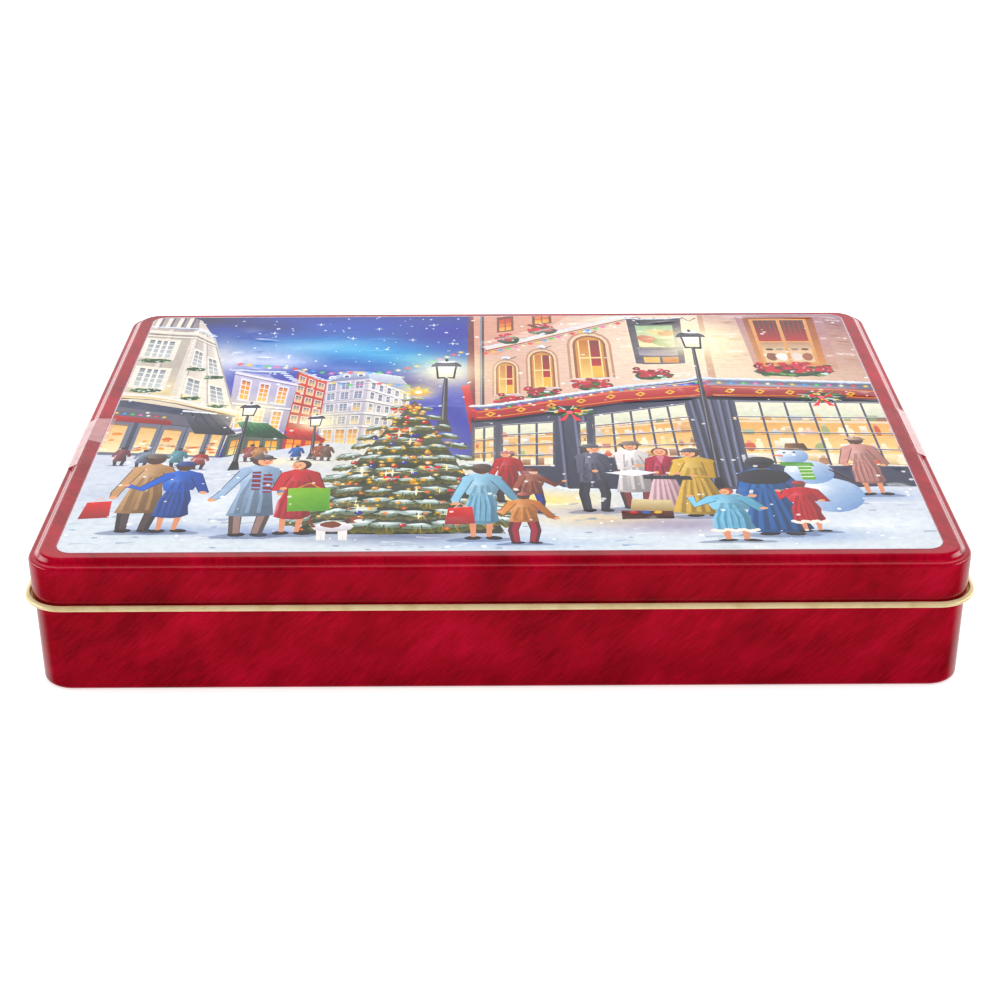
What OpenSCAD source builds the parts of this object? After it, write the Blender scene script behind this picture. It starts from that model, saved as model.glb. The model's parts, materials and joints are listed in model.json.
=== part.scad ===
// Slip-lid gift tin: a shallow drawn tinplate body, a stepped lid with a rolled
// edge, and clear tape seals on the two short sides.
// Origin: middle of the base, on the surface the tin stands on. +Z is up, +X is
// along the long side, -Y is the front. Millimetres.

/* [Lid] */
// Width of the lid's skirt, along X
lid_w = 300; // [240:5:360]
// Depth of the lid's skirt, along Y
lid_d = 217; // [160:1:260]
// Corner radius of the skirt, seen from above
lid_corner_r = 11.5; // [9:0.5:16]
// Height of the ledge that runs round the panel
ledge_z = 45; // [40:0.5:60]
// Drop from the ledge to the middle of the rolled edge
skirt_h = 13.7; // [10:0.1:18]
// Rounding of the shoulder between ledge and skirt
shoulder_r = 1; // [0.6:0.1:1.6]
// Width of the ledge, from the skirt to the foot of the step
ledge_w = 3; // [2.4:0.1:4]
// Height of the step from the ledge up to the panel
step_h = 1.8; // [1:0.1:2.4]
// How far the sloping step runs in
step_run = 0.8; // [0.6:0.1:1.5]
// Height of the relief pressed into the panel
emboss_h = 0.5; // [0.2:0.1:0.8]

/* [Rolled edges] */
// Radius of the lid's curl, outside
curl_r = 1.2; // [0.9:0.05:1.5]
// How far the curl stands out from the skirt
curl_reach = 2.4; // [2.3:0.1:3]
// Radius of the body's inward-rolled rim, outside
rim_r = 1; // [0.8:0.05:1.3]

/* [Body] */
// Step in from the skirt's outside to the body's outside
body_inset = 0.6; // [0.6:0.05:1.1]
// Gap between the top of the rim and the underside of the ledge
rim_gap = 0.2; // [0.1:0.05:0.5]
// Rounding between the body's wall and its base
base_edge_r = 1.6; // [1:0.1:4]
// Width of the flat ring that the tin stands on
foot_ring_w = 12; // [10:1:20]
// Depth of the shallow panel pressed up inside the foot ring
base_recess = 0.8; // [0.4:0.1:1.2]

/* [Tinplate] */
// Thickness of the sheet
sheet_t = 0.3; // [0.25:0.05:0.35]

/* [Tape seals] */
// Width of a seal along the tin's side
seal_w = 38; // [20:1:60]
// Thickness of the film
seal_t = 0.1; // [0.08:0.02:0.14]
// How far a seal reaches in over the raised panel
seal_lap = 7; // [3:0.5:12]
// Gap between the film and the sides it is stuck to
seal_gap = 0.02; // [0.01:0.01:0.05]
// Middle of the left seal along Y
left_seal_y = -17.5; // [-40:0.5:40]
// Middle of the right seal along Y
right_seal_y = -11.5; // [-40:0.5:40]
// Lowest point of a seal's tail on the body
tail_low_z = 14; // [10:1:18]

/* [Hidden] */
$fn = 64;

tinplate_red = "#9a0420";
lacquer_gold = "#d3bf90";
film_clear = "#e6dcdc";

panel_z = ledge_z + step_h;
curl_z = ledge_z - skirt_h;
panel_inset = ledge_w + step_run;
panel_w = lid_w - 2 * panel_inset;
panel_d = lid_d - 2 * panel_inset;
panel_r = lid_corner_r - panel_inset;
body_w = lid_w - 2 * body_inset;
body_d = lid_d - 2 * body_inset;
body_r = lid_corner_r - body_inset;
rim_z = ledge_z - sheet_t - rim_gap - rim_r;
curl_gap = 0.2;

// ---- shapes shared by the parts ----

// Rectangle with round corners, centred
module round_rect(w, d, r) {
    square([w - 2 * r, d], center = true);
    square([w, d - 2 * r], center = true);
    for (x = [-1, 1], y = [-1, 1])
        translate([x * (w / 2 - r), y * (d / 2 - r)]) circle(r);
}

// Runs a wall section round a rectangle with round corners. The section's x is
// measured outwards from the outline, and its y is the height.
module run_round(w, d, r) {
    for (side = [0:3]) {
        faces_x = side % 2 == 0;
        reach = (faces_x ? w : d) / 2;
        run = (faces_x ? d : w) - 2 * r;
        rotate([0, 0, 90 * side]) {
            translate([reach, run / 2, 0]) rotate([90, 0, 0])
                linear_extrude(height = run) children();
            translate([reach - r, run / 2, 0])
                rotate_extrude(angle = 90) translate([r, 0]) children();
        }
    }
}

// Quarter disc that rounds a lower outside edge of radius f
module edge_quarter(f) {
    intersection() {
        translate([-f, f]) circle(f);
        translate([-f, 0]) square(f);
    }
}

// Block with round corners and a rounded lower edge, standing on z = 0
module tub(w, d, r, h, f) {
    translate([0, 0, f]) linear_extrude(height = h - f) round_rect(w, d, r);
    linear_extrude(height = f) round_rect(w - 2 * f, d - 2 * f, r - f);
    run_round(w, d, r) edge_quarter(f);
}

// Low plateau with sloping sides, standing on z = 0; w and d are its top
module plateau(w, d, r, h, run) {
    linear_extrude(height = h) round_rect(w, d, r);
    run_round(w, d, r) polygon([[0, 0], [run, 0], [0, h]]);
}

// Wall of a rolled sheet edge: a ring's section between two angles
module rolled_section(outer_r, from, to) {
    steps = 6;
    reach = 2 * outer_r;
    intersection() {
        difference() {
            circle(outer_r);
            circle(outer_r - sheet_t);
        }
        polygon(concat(
            [[0, 0]],
            [for (i = [0:steps])
                let (turn = from + (to - from) * i / steps) reach * [cos(turn), sin(turn)]]
        ));
    }
}

// ---- body ----

module body_shell() {
    wall_top = rim_z;
    inner_r = base_edge_r - sheet_t;
    recess_w = body_w - 2 * foot_ring_w;
    recess_d = body_d - 2 * foot_ring_w;
    recess_r = 5;
    color(tinplate_red) {
        difference() {
            tub(body_w, body_d, body_r, wall_top, base_edge_r);
            translate([0, 0, sheet_t])
                tub(body_w - 2 * sheet_t, body_d - 2 * sheet_t, body_r - sheet_t, wall_top, inner_r);
            translate([0, 0, -1])
                linear_extrude(height = 1 + base_recess) round_rect(recess_w, recess_d, recess_r);
        }
        translate([0, 0, base_recess])
            linear_extrude(height = sheet_t)
                round_rect(recess_w + 2 * sheet_t, recess_d + 2 * sheet_t, recess_r + sheet_t);
        translate([0, 0, sheet_t]) linear_extrude(height = base_recess) difference() {
            round_rect(recess_w + 2 * sheet_t, recess_d + 2 * sheet_t, recess_r + sheet_t);
            round_rect(recess_w, recess_d, recess_r);
        }
    }
}

module body_rim() {
    color(tinplate_red)
        run_round(body_w, body_d, body_r) translate([-rim_r, rim_z]) rolled_section(rim_r, 0, 290);
}

// ---- lid ----

// Outside of the lid, or its inside when skin is the sheet's thickness
module lid_form(skin) {
    fillet = shoulder_r - min(skin, shoulder_r - 0.2);
    translate([0, 0, ledge_z - skin]) mirror([0, 0, 1])
        tub(lid_w - 2 * skin, lid_d - 2 * skin, lid_corner_r - skin, skirt_h - skin, fillet);
    translate([0, 0, ledge_z - skin])
        plateau(panel_w - 2 * skin, panel_d - 2 * skin, panel_r - skin, step_h, step_run);
}

// Relief of the picture, as low pads: a fir with its star, the fronts of two
// shops, street lamps, a snowman and standing groups of people
module relief() {
    fir = [-33, -86];
    tier_h = 17;
    for (tier = [0:5])
        translate(fir + [0, tier_h * tier])
            polygon([[-29 + 4.5 * tier, 0], [29 - 4.5 * tier, 0], [0, 2 * tier_h]]);
    translate(fir + [0, 112]) circle(4);
    for (group = [[-109, -86, 22], [-78, -90, 26], [2, -94, 17], [38, -74, 16], [60, -77, 22], [85, -92, 32]])
        translate([group[0], group[1]]) {
            translate([0, 42]) circle(5);
            translate([-group[2] / 2, 0]) square([group[2], 40]);
        }
    for (post = [[-91.5, -41, 46], [74, -58, 128]])
        translate([post[0], post[1]]) {
            translate([-0.8, 0]) square([1.6, post[2]]);
            translate([-3, post[2]]) square([6, 8]);
        }
    translate([107, -62]) circle(12);
    translate([104, -40]) circle(7);
    translate([-10, 17]) square([148, 11]);
    translate([-138, -2]) square([44, 4]);
}

module lid_shell() {
    color(tinplate_red) {
        difference() {
            lid_form(0);
            lid_form(sheet_t);
            translate([0, 0, curl_z - 1]) linear_extrude(height = 2)
                round_rect(lid_w - 2 * sheet_t, lid_d - 2 * sheet_t, lid_corner_r - sheet_t);
        }
        translate([0, 0, panel_z - sheet_t / 2])
            linear_extrude(height = emboss_h + sheet_t / 2) relief();
    }
}

module lid_curl() {
    near = curl_r - sheet_t;
    far = curl_reach - curl_r;
    color(lacquer_gold) run_round(lid_w, lid_d, lid_corner_r) translate([0, curl_z]) {
        translate([near, 0]) rolled_section(curl_r, 180, 270);
        translate([near, -curl_r]) square([far - near, sheet_t]);
        translate([far, 0]) rolled_section(curl_r, -90, 120);
    }
}

// ---- tape seals ----

// Film section on the +X side, from the panel over the shoulder to the curl
module seal_section() {
    lift = seal_t / 2 + seal_gap;
    side = lid_w / 2 + lift;
    bead = side + curl_reach;
    path = [
        [lid_w / 2 - panel_inset - seal_lap, panel_z + seal_t / 2],
        [lid_w / 2 - panel_inset, panel_z + seal_t / 2],
        [side - 0.15, ledge_z + lift],
        [side, ledge_z - shoulder_r],
        [side, curl_z + 5],
        [bead, curl_z + 0.8],
        [bead, curl_z - 0.4]
    ];
    film(path);
}

// Film section of the tail, from just under the curl down the body's wall
module tail_section() {
    wall = body_w / 2 + seal_t / 2 + seal_gap;
    path = [
        [lid_w / 2 + curl_reach - curl_r, curl_z - curl_r - curl_gap],
        [wall, curl_z - 7],
        [wall, tail_low_z]
    ];
    film(path);
}

// Unit vector to the left of the way from a to b
function left_of(a, b) = let (along = (b - a) / norm(b - a)) [-along[1], along[0]];

// The path moved sideways by a distance, with mitred corners
function moved_path(path, distance) = [
    for (i = [0:len(path) - 1])
        let (
            before = left_of(path[max(i - 1, 0)], path[max(i, 1)]),
            after = left_of(path[min(i, len(path) - 2)], path[min(i + 1, len(path) - 1)]),
            middle = (before + after) / norm(before + after)
        ) path[i] + middle * distance / (middle * before)
];

// Thin strip that follows a path of points
module film(path) {
    back = moved_path(path, -seal_t / 2);
    polygon(concat(
        moved_path(path, seal_t / 2),
        [for (i = [len(back) - 1:-1:0]) back[i]]
    ));
}

module seal_strip(y) {
    translate([0, y + seal_w / 2, 0]) rotate([90, 0, 0])
        linear_extrude(height = seal_w) children();
}

module seal_right() {
    color(film_clear, 0.4) seal_strip(right_seal_y) seal_section();
}

module seal_right_tail() {
    color(film_clear, 0.4) seal_strip(right_seal_y) tail_section();
}

module seal_left() {
    color(film_clear, 0.4) mirror([1, 0, 0]) seal_strip(left_seal_y) seal_section();
}

module seal_left_tail() {
    color(film_clear, 0.4) mirror([1, 0, 0]) seal_strip(left_seal_y) tail_section();
}

body_shell();
body_rim();
lid_shell();
lid_curl();
seal_left();
seal_right();
seal_left_tail();
seal_right_tail();
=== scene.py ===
"""Slip-lid gift tin: drawn body, stepped lid with a rolled edge, printed picture and tape seals.

Every piece is made at its own place in the frame: +Z is up, +X runs along the tin's long
side, -Y is its front, and the tin stands on z = 0. Sizes in the classes are millimetres.
"""

import json
import logging
import math
import random
from collections.abc import Callable
from dataclasses import dataclass, field
from enum import Enum

import bmesh
import bpy
import numpy as np
from mathutils import Matrix, Vector
from mathutils.geometry import delaunay_2d_cdt

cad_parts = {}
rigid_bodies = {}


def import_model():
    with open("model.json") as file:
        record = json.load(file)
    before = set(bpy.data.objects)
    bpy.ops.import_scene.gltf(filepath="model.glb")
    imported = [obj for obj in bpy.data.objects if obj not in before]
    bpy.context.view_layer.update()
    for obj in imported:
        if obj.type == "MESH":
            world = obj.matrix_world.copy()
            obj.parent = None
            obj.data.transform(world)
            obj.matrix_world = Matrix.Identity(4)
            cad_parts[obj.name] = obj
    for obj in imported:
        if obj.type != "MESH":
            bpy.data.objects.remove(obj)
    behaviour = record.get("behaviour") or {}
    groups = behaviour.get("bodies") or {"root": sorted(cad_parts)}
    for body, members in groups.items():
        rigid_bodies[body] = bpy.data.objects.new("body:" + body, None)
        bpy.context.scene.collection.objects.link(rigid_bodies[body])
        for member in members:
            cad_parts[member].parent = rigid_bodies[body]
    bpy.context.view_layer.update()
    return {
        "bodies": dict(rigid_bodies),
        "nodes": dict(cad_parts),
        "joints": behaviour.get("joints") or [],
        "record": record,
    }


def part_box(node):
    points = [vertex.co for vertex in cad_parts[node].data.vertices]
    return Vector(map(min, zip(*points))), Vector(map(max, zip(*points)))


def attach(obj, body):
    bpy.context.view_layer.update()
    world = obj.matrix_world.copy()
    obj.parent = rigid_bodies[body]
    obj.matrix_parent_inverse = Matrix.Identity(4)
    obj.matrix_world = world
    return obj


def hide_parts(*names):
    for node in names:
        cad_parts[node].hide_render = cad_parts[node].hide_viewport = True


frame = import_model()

LOG = logging.getLogger("gift_tin")
MM = 0.001
Point = tuple[float, float]
Span = tuple[Point, Point]


# ---- bench: small helpers for modelling by operator ----


class Pick(Enum):
    """What an edit-mode selection picks."""

    FACE = "FACE"
    EDGE = "EDGE"


def clear_picks() -> None:
    """Leave edit mode and deselect every object."""
    if bpy.context.object and bpy.context.object.mode != "OBJECT":
        bpy.ops.object.mode_set(mode="OBJECT")
    bpy.ops.object.select_all(action="DESELECT")


def choose(piece: bpy.types.Object) -> None:
    """Make one piece the only selected and active one."""
    clear_picks()
    piece.select_set(True)
    bpy.context.view_layer.objects.active = piece


def named(piece: bpy.types.Object, name: str) -> bpy.types.Object:
    """Name a piece and its mesh, and sink its place into its mesh."""
    piece.name = name
    piece.data.name = name
    choose(piece)
    bpy.ops.object.transform_apply(location=True, rotation=True, scale=True)
    return piece


def block(name: str, low: tuple[float, ...], high: tuple[float, ...]) -> bpy.types.Object:
    """Add a block between two corners.

    Args:
        name: Name of the piece.
        low: Lowest corner in millimetres.
        high: Highest corner in millimetres.

    Returns:
        The new piece.
    """
    clear_picks()
    first, last = Vector(low) * MM, Vector(high) * MM
    bpy.ops.mesh.primitive_cube_add(size=1, location=(first + last) / 2, scale=last - first)
    return named(bpy.context.object, name)


def edit(piece: bpy.types.Object) -> None:
    """Open a piece in edit mode."""
    choose(piece)
    bpy.ops.object.mode_set(mode="EDIT")


def pick(piece: bpy.types.Object, kind: Pick, test: Callable) -> None:
    """Select the faces or edges of a piece in edit mode that pass a test.

    Args:
        piece: Piece that is open in edit mode.
        kind: Whether faces or edges are picked.
        test: Takes a face or an edge and says whether it is picked.
    """
    bpy.ops.mesh.select_mode(type=kind.value)
    bpy.ops.mesh.select_all(action="DESELECT")
    shape = bmesh.from_edit_mesh(piece.data)
    for part in shape.faces if kind is Pick.FACE else shape.edges:
        if test(part):
            part.select_set(True)
    bmesh.update_edit_mesh(piece.data)


def height(part: bmesh.types.BMEdge | bmesh.types.BMFace) -> float:
    """Height of an edge's or a face's middle, in millimetres."""
    return sum(corner.co.z for corner in part.verts) / len(part.verts) / MM


def upright(edge: bmesh.types.BMEdge) -> bool:
    """Whether an edge runs straight up."""
    one, other = (corner.co for corner in edge.verts)
    return abs(one.z - other.z) > 0.9 * (one - other).length


def bevel(size: float, steps: int) -> None:
    """Round the picked edges by a radius in millimetres."""
    bpy.ops.mesh.bevel(offset=size * MM, offset_type="OFFSET", segments=steps, profile=0.5, affect="EDGES")


def modify(piece: bpy.types.Object, kind: str, **settings: object) -> None:
    """Add a modifier with its settings and apply it."""
    choose(piece)
    made = piece.modifiers.new(kind.title(), kind)
    for name, value in settings.items():
        setattr(made, name, value)
    bpy.ops.object.modifier_apply(modifier=made.name)


def smooth(piece: bpy.types.Object, degrees: float = 35.0) -> None:
    """Smooth the shading, with flat faces kept flat."""
    choose(piece)
    bpy.ops.object.shade_smooth_by_angle(angle=math.radians(degrees))
    modify(piece, "WEIGHTED_NORMAL", keep_sharp=True)


def thicken(piece: bpy.types.Object, sheet: float) -> None:
    """Give a shell its sheet inwards, in millimetres, with the second finish inside and on the rim."""
    modify(
        piece, "SOLIDIFY", thickness=sheet * MM, offset=-1.0, use_even_offset=True,
        material_offset=1, material_offset_rim=1,
    )


def dress(piece: bpy.types.Object, *finishes: bpy.types.Material) -> None:
    """Give a piece its materials, slot by slot."""
    piece.data.materials.clear()
    for finish in finishes:
        piece.data.materials.append(finish)


# ---- finishes ----


def linear(colour: str) -> tuple[float, float, float, float]:
    """Turn an sRGB hex colour into linear light with full alpha."""
    parts = [int(colour[i : i + 2], 16) / 255 for i in (1, 3, 5)]
    return (*(p / 12.92 if p <= 0.04045 else ((p + 0.055) / 1.055) ** 2.4 for p in parts), 1.0)


def node(
    tree: bpy.types.NodeTree, kind: str, settings: dict | None = None, inputs: dict | None = None
) -> bpy.types.Node:
    """Add a node with its settings, values and links.

    Args:
        tree: Tree that gets the node.
        kind: Type name of the node.
        settings: Properties to set on it.
        inputs: Socket values, or sockets of other nodes to link.

    Returns:
        The new node.
    """
    made = tree.nodes.new(kind)
    for name, value in (settings or {}).items():
        setattr(made, name, value)
    for name, value in (inputs or {}).items():
        if isinstance(value, bpy.types.NodeSocket):
            tree.links.new(value, made.inputs[name])
        else:
            made.inputs[name].default_value = value
    return made


def ramp(made: bpy.types.Node, stops: list[tuple[float, str]]) -> None:
    """Set the stops of a colour ramp node."""
    row = made.color_ramp.elements
    while len(row) > 1:
        row.remove(row[-1])
    row[0].position, row[0].color = stops[0][0], linear(stops[0][1])
    for place, colour in stops[1:]:
        row.new(place).color = linear(colour)


@dataclass(frozen=True)
class Finish:
    """One surface finish; each kind builds its own nodes."""

    name: str
    roughness: float = 0.3

    def blank(self) -> tuple[bpy.types.Material, bpy.types.NodeTree, bpy.types.Node]:
        """Start a material with only its shader and output."""
        made = bpy.data.materials.new(self.name)
        made.use_nodes = True
        tree = made.node_tree
        tree.nodes.clear()
        shader = node(tree, "ShaderNodeBsdfPrincipled", {}, {"Roughness": self.roughness})
        node(tree, "ShaderNodeOutputMaterial", {}, {"Surface": shader.outputs[0]})
        return made, tree, shader


@dataclass(frozen=True)
class PrintedTinplate(Finish):
    """Crimson ink, printed on tinplate and varnished.

    The print imitates brushed suede: soft patches and fine strokes that climb to the right.
    The varnish over it gives sharp, pale reflections.
    """

    name: str = "printed_tinplate"
    roughness: float = 0.14
    deep: str = "#7c0010"
    middle: str = "#9a001a"
    light: str = "#b60028"
    stroke_width: float = 0.55  # drawn a little coarser than real strokes, so that they show
    stroke_length: float = 6.0
    patch_width: float = 12.0
    patch_length: float = 26.0

    def material(self) -> bpy.types.Material:
        """Build the material."""
        made, tree, shader = self.blank()
        place = node(tree, "ShaderNodeTexCoord").outputs["Object"]
        across = Vector((-1, -1, 1)).normalized()
        along = Vector((1, 1, 2)).normalized()
        turn = Matrix((across, along, across.cross(along))).transposed().to_euler()

        def strokes(width: float, length: float, detail: float) -> bpy.types.NodeSocket:
            """Noise drawn out along the strokes, at a size in millimetres."""
            laid = node(
                tree,
                "ShaderNodeMapping",
                {"vector_type": "TEXTURE"},
                {"Vector": place, "Rotation": turn, "Scale": (width * MM, length * MM, length * MM)},
            )
            inputs = {"Vector": laid.outputs[0], "Scale": 1.0, "Detail": detail, "Roughness": 0.6}
            return node(tree, "ShaderNodeTexNoise", {}, inputs).outputs["Fac"]

        fine = strokes(self.stroke_width, self.stroke_length, 3.0)
        patches = strokes(self.patch_width, self.patch_length, 2.0)
        blend = node(tree, "ShaderNodeMix", {}, {"Factor": 0.45, "A": patches, "B": fine})
        tone = node(tree, "ShaderNodeValToRGB", {}, {"Fac": blend.outputs[0]})
        ramp(tone, [(0.36, self.deep), (0.52, self.middle), (0.68, self.light)])
        tree.links.new(tone.outputs[0], shader.inputs["Base Color"])
        return made


@dataclass(frozen=True)
class GoldLacquer(Finish):
    """Bare tinplate under a pale gold lacquer, as drawn and rolled edges show it.

    The lacquer gives a soft champagne gold with a satin reflection and faint drawing marks.
    """

    name: str = "gold_lacquer"
    roughness: float = 0.34
    colour: str = "#f6e0ae"
    mark: str = "#e6cc90"

    def material(self) -> bpy.types.Material:
        """Build the material."""
        made, tree, shader = self.blank()
        shader.inputs["Metallic"].default_value = 0.25
        place = node(tree, "ShaderNodeTexCoord").outputs["Object"]
        grain = node(tree, "ShaderNodeTexNoise", {}, {"Vector": place, "Scale": 180.0, "Detail": 4.0})
        tone = node(tree, "ShaderNodeValToRGB", {}, {"Fac": grain.outputs["Fac"]})
        ramp(tone, [(0.30, self.mark), (0.55, self.colour)])
        tree.links.new(tone.outputs[0], shader.inputs["Base Color"])
        bump = node(tree, "ShaderNodeBump", {},
                    {"Height": grain.outputs[0], "Strength": 0.15, "Distance": 0.00005})
        tree.links.new(bump.outputs[0], shader.inputs["Normal"])
        return made


@dataclass(frozen=True)
class ClearFilm(Finish):
    """Clear polypropylene tape, extruded film with a smooth face.

    Stuck down it almost vanishes; where it bridges a gap it catches the light and looks milky, and that milky
    sheen is painted reflection: a pale pink colour laid on with more cover.
    """

    name: str = "clear_film"
    roughness: float = 0.12
    # pale pink of the painted reflection; cover sets how much of it shows
    colour: str = "#d6b2b4"
    cover: float = 0.1
    mirror: float = 0.5

    def material(self) -> bpy.types.Material:
        """Build the material."""
        made, tree, shader = self.blank()
        place = node(tree, "ShaderNodeTexCoord").outputs["Object"]
        haze = node(tree, "ShaderNodeTexNoise", {}, {"Vector": place, "Scale": 260.0, "Detail": 3.0})
        tone = node(tree, "ShaderNodeValToRGB", {}, {"Fac": haze.outputs["Fac"]})
        ramp(tone, [(0.35, self.colour), (0.65, "#e4c4c4")])
        tree.links.new(tone.outputs[0], shader.inputs["Base Color"])
        shader.inputs["Alpha"].default_value = self.cover
        shader.inputs["Specular IOR Level"].default_value = self.mirror
        return made


@dataclass(frozen=True)
class PictureInk(Finish):
    """Four-colour offset print on white-coated tinplate, varnished.

    The inks come from the sheet's own colour layer; a faint mottle breaks them up like gouache.
    """

    name: str = "picture_print"
    roughness: float = 0.2
    layer: str = "ink"

    def material(self) -> bpy.types.Material:
        """Build the material."""
        made, tree, shader = self.blank()
        ink = node(tree, "ShaderNodeAttribute", {"attribute_name": self.layer}).outputs["Color"]
        place = node(tree, "ShaderNodeTexCoord").outputs["Object"]
        mottle = node(tree, "ShaderNodeTexNoise", {}, {"Vector": place, "Scale": 420.0, "Detail": 5.0})
        tone = node(tree, "ShaderNodeValToRGB", {}, {"Fac": mottle.outputs["Fac"]})
        ramp(tone, [(0.35, "#e6e6ec"), (0.6, "#ffffff")])
        laid = node(
            tree, "ShaderNodeMix", {"data_type": "RGBA", "blend_type": "MULTIPLY"}, {0: 0.5}
        )
        strong = node(tree, "ShaderNodeHueSaturation", {}, {"Color": ink, "Saturation": 1.18, "Value": 1.0})
        deep = node(tree, "ShaderNodeGamma", {}, {"Color": strong.outputs[0], "Gamma": 1.22})
        tree.links.new(deep.outputs[0], laid.inputs[6])
        tree.links.new(tone.outputs[0], laid.inputs[7])
        tree.links.new(laid.outputs[2], shader.inputs["Base Color"])
        return made


@dataclass(frozen=True)
class StudioFloor(Finish):
    """Matt white sweep of a small product studio, lit from below so that shadows wash out."""

    name: str = "studio_floor"
    roughness: float = 0.9
    glow: float = 0.6

    def material(self) -> bpy.types.Material:
        """Build the material."""
        made, _, shader = self.blank()
        shader.inputs["Base Color"].default_value = linear("#f4f4f4")
        shader.inputs["Emission Color"].default_value = linear("#ffffff")
        shader.inputs["Emission Strength"].default_value = self.glow
        shader.inputs["Specular IOR Level"].default_value = 0.0
        return made


# ---- studio ----


@dataclass
class Studio:
    """Camera, floor, lamps and surroundings."""

    lens: float = 67.86
    eye: tuple[float, float, float] = (-1.589, -624.86, 330.656)
    pitch: float = 0.46965
    yaw: float = 0.0031006
    roll: float = -0.0035747
    back_wall: Span = ((0.1, 0.6), (0.0, 0.95))  # directions it eases over, and how bright it gets
    horizon: Span = ((0.12, 0.34), (2.4, 1.0))
    side_boxes: Span = ((0.7, 0.9), (0.0, 1.0))
    box_foot: Span = ((0.15, 0.35), (0.0, 5.0))
    fill: Span = ((0.3, 1.0), (0.42, 1.05))

    def camera(self) -> None:
        """Place the camera in front of the tin, looking down at its lid."""
        level, drop = math.cos(self.pitch), math.sin(self.pitch)
        ahead = Vector((math.sin(self.yaw) * level, math.cos(self.yaw) * level, -drop))
        side = Vector((math.cos(self.yaw), -math.sin(self.yaw), 0))
        top = side.cross(ahead)
        right = side * math.cos(self.roll) + top * math.sin(self.roll)
        up = top * math.cos(self.roll) - side * math.sin(self.roll)
        lens = bpy.data.cameras.new("studio_camera")
        lens.lens, lens.sensor_width, lens.clip_start = self.lens, 36.0, 0.01
        seat = bpy.data.objects.new("studio_camera", lens)
        bpy.context.scene.collection.objects.link(seat)
        seat.matrix_world = Matrix.LocRotScale(
            Vector(self.eye) * MM, Matrix((right, up, -ahead)).transposed().to_quaternion(), None
        )
        bpy.context.scene.camera = seat

    def floor(self) -> None:
        """Lay the pale floor, which mirrors nothing into the varnish."""
        clear_picks()
        bpy.ops.mesh.primitive_plane_add(size=14, location=(0, 0, 0))
        floor = named(bpy.context.object, "studio_floor")
        dress(floor, StudioFloor().material())
        floor.visible_glossy = False

    def lamp(self, name: str, power: float, size: float, at: tuple[float, float, float]) -> None:
        """Hang a square soft light that faces the tin and leaves no mirror image."""
        light = bpy.data.lights.new(name, "AREA")
        light.energy, light.size = power, size
        seat = bpy.data.objects.new(name, light)
        bpy.context.scene.collection.objects.link(seat)
        seat.location = at
        seat.rotation_mode = "QUATERNION"
        seat.rotation_quaternion = (-Vector(at)).to_track_quat("-Z", "Y")
        seat.visible_glossy = False

    def surroundings(self) -> None:
        """Even white light all round; varnish sees soft boxes behind and beside, dark in front."""
        world = bpy.data.worlds.new("studio")
        bpy.context.scene.world = world
        world.use_nodes = True
        tree = world.node_tree
        tree.nodes.clear()

        def sums(kind: str, *values: object) -> bpy.types.NodeSocket:
            """Work out a sum."""
            return node(tree, "ShaderNodeMath", {"operation": kind}, dict(enumerate(values))).outputs[0]

        def eased(value: bpy.types.NodeSocket, span: Span) -> bpy.types.NodeSocket:
            """Ease from one brightness to another as a value crosses its limits."""
            (low, high), (dim, bright) = span
            limits = {"From Min": low, "From Max": high, "To Min": dim, "To Max": bright}
            smoothly = {"interpolation_type": "SMOOTHSTEP"}
            return node(tree, "ShaderNodeMapRange", smoothly, {"Value": value, **limits}).outputs[0]

        def either(test: bpy.types.NodeSocket, no: object, yes: object) -> bpy.types.NodeSocket:
            """Choose a brightness by the kind of ray."""
            return node(tree, "ShaderNodeMix", {}, {"Factor": test, "A": no, "B": yes}).outputs[0]

        way = node(tree, "ShaderNodeTexCoord").outputs["Generated"]
        parts = node(tree, "ShaderNodeSeparateXYZ", {}, {"Vector": way}).outputs
        wide = sums("ABSOLUTE", parts["X"])
        behind = eased(sums("MULTIPLY_ADD", parts["Z"], -0.5, parts["Y"]), self.back_wall)
        back = sums("MULTIPLY", behind, eased(sums("ABSOLUTE", parts["Z"]), self.horizon))
        boxes = sums("MULTIPLY", eased(wide, self.side_boxes), eased(parts["Z"], self.box_foot))
        rays = node(tree, "ShaderNodeLightPath").outputs
        lit = either(rays["Is Glossy Ray"], eased(wide, self.fill), sums("MAXIMUM", back, boxes))
        seen = either(rays["Is Camera Ray"], lit, 1.0)
        sky = node(tree, "ShaderNodeBackground", {}, {"Color": linear("#ffffff"), "Strength": seen})
        node(tree, "ShaderNodeOutputWorld", {}, {"Surface": sky.outputs[0]})

    def build(self) -> None:
        """Set up the whole studio."""
        self.camera()
        self.floor()
        self.surroundings()
        self.lamp("top_light", 24.0, 1.6, (0.0, 0.35, 1.6))
        bpy.context.scene.view_settings.view_transform = "Standard"


# ---- picture: inks ----


def tint(colour: str) -> np.ndarray:
    """Turn an sRGB hex colour into an array from 0 to 1."""
    return np.array([int(colour[i : i + 2], 16) for i in (1, 3, 5)]) / 255


@dataclass(frozen=True)
class Flat:
    """One even ink."""

    colour: str
    alpha: float = 1.0

    def mix(self, spots: np.ndarray) -> tuple[np.ndarray, np.ndarray]:
        """Colour and cover of the ink at each spot."""
        return np.tile(tint(self.colour), (len(spots), 1)), np.full(len(spots), self.alpha)


@dataclass(frozen=True)
class Wash:
    """Ink that turns from one colour into another between two points."""

    first: str
    last: str
    start: Point
    end: Point

    def mix(self, spots: np.ndarray) -> tuple[np.ndarray, np.ndarray]:
        """Colour and cover of the ink at each spot."""
        way = np.subtract(self.end, self.start)
        part = np.clip((spots - self.start) @ way / (way @ way), 0, 1)[:, None]
        return tint(self.first) * (1 - part) + tint(self.last) * part, np.ones(len(spots))


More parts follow.
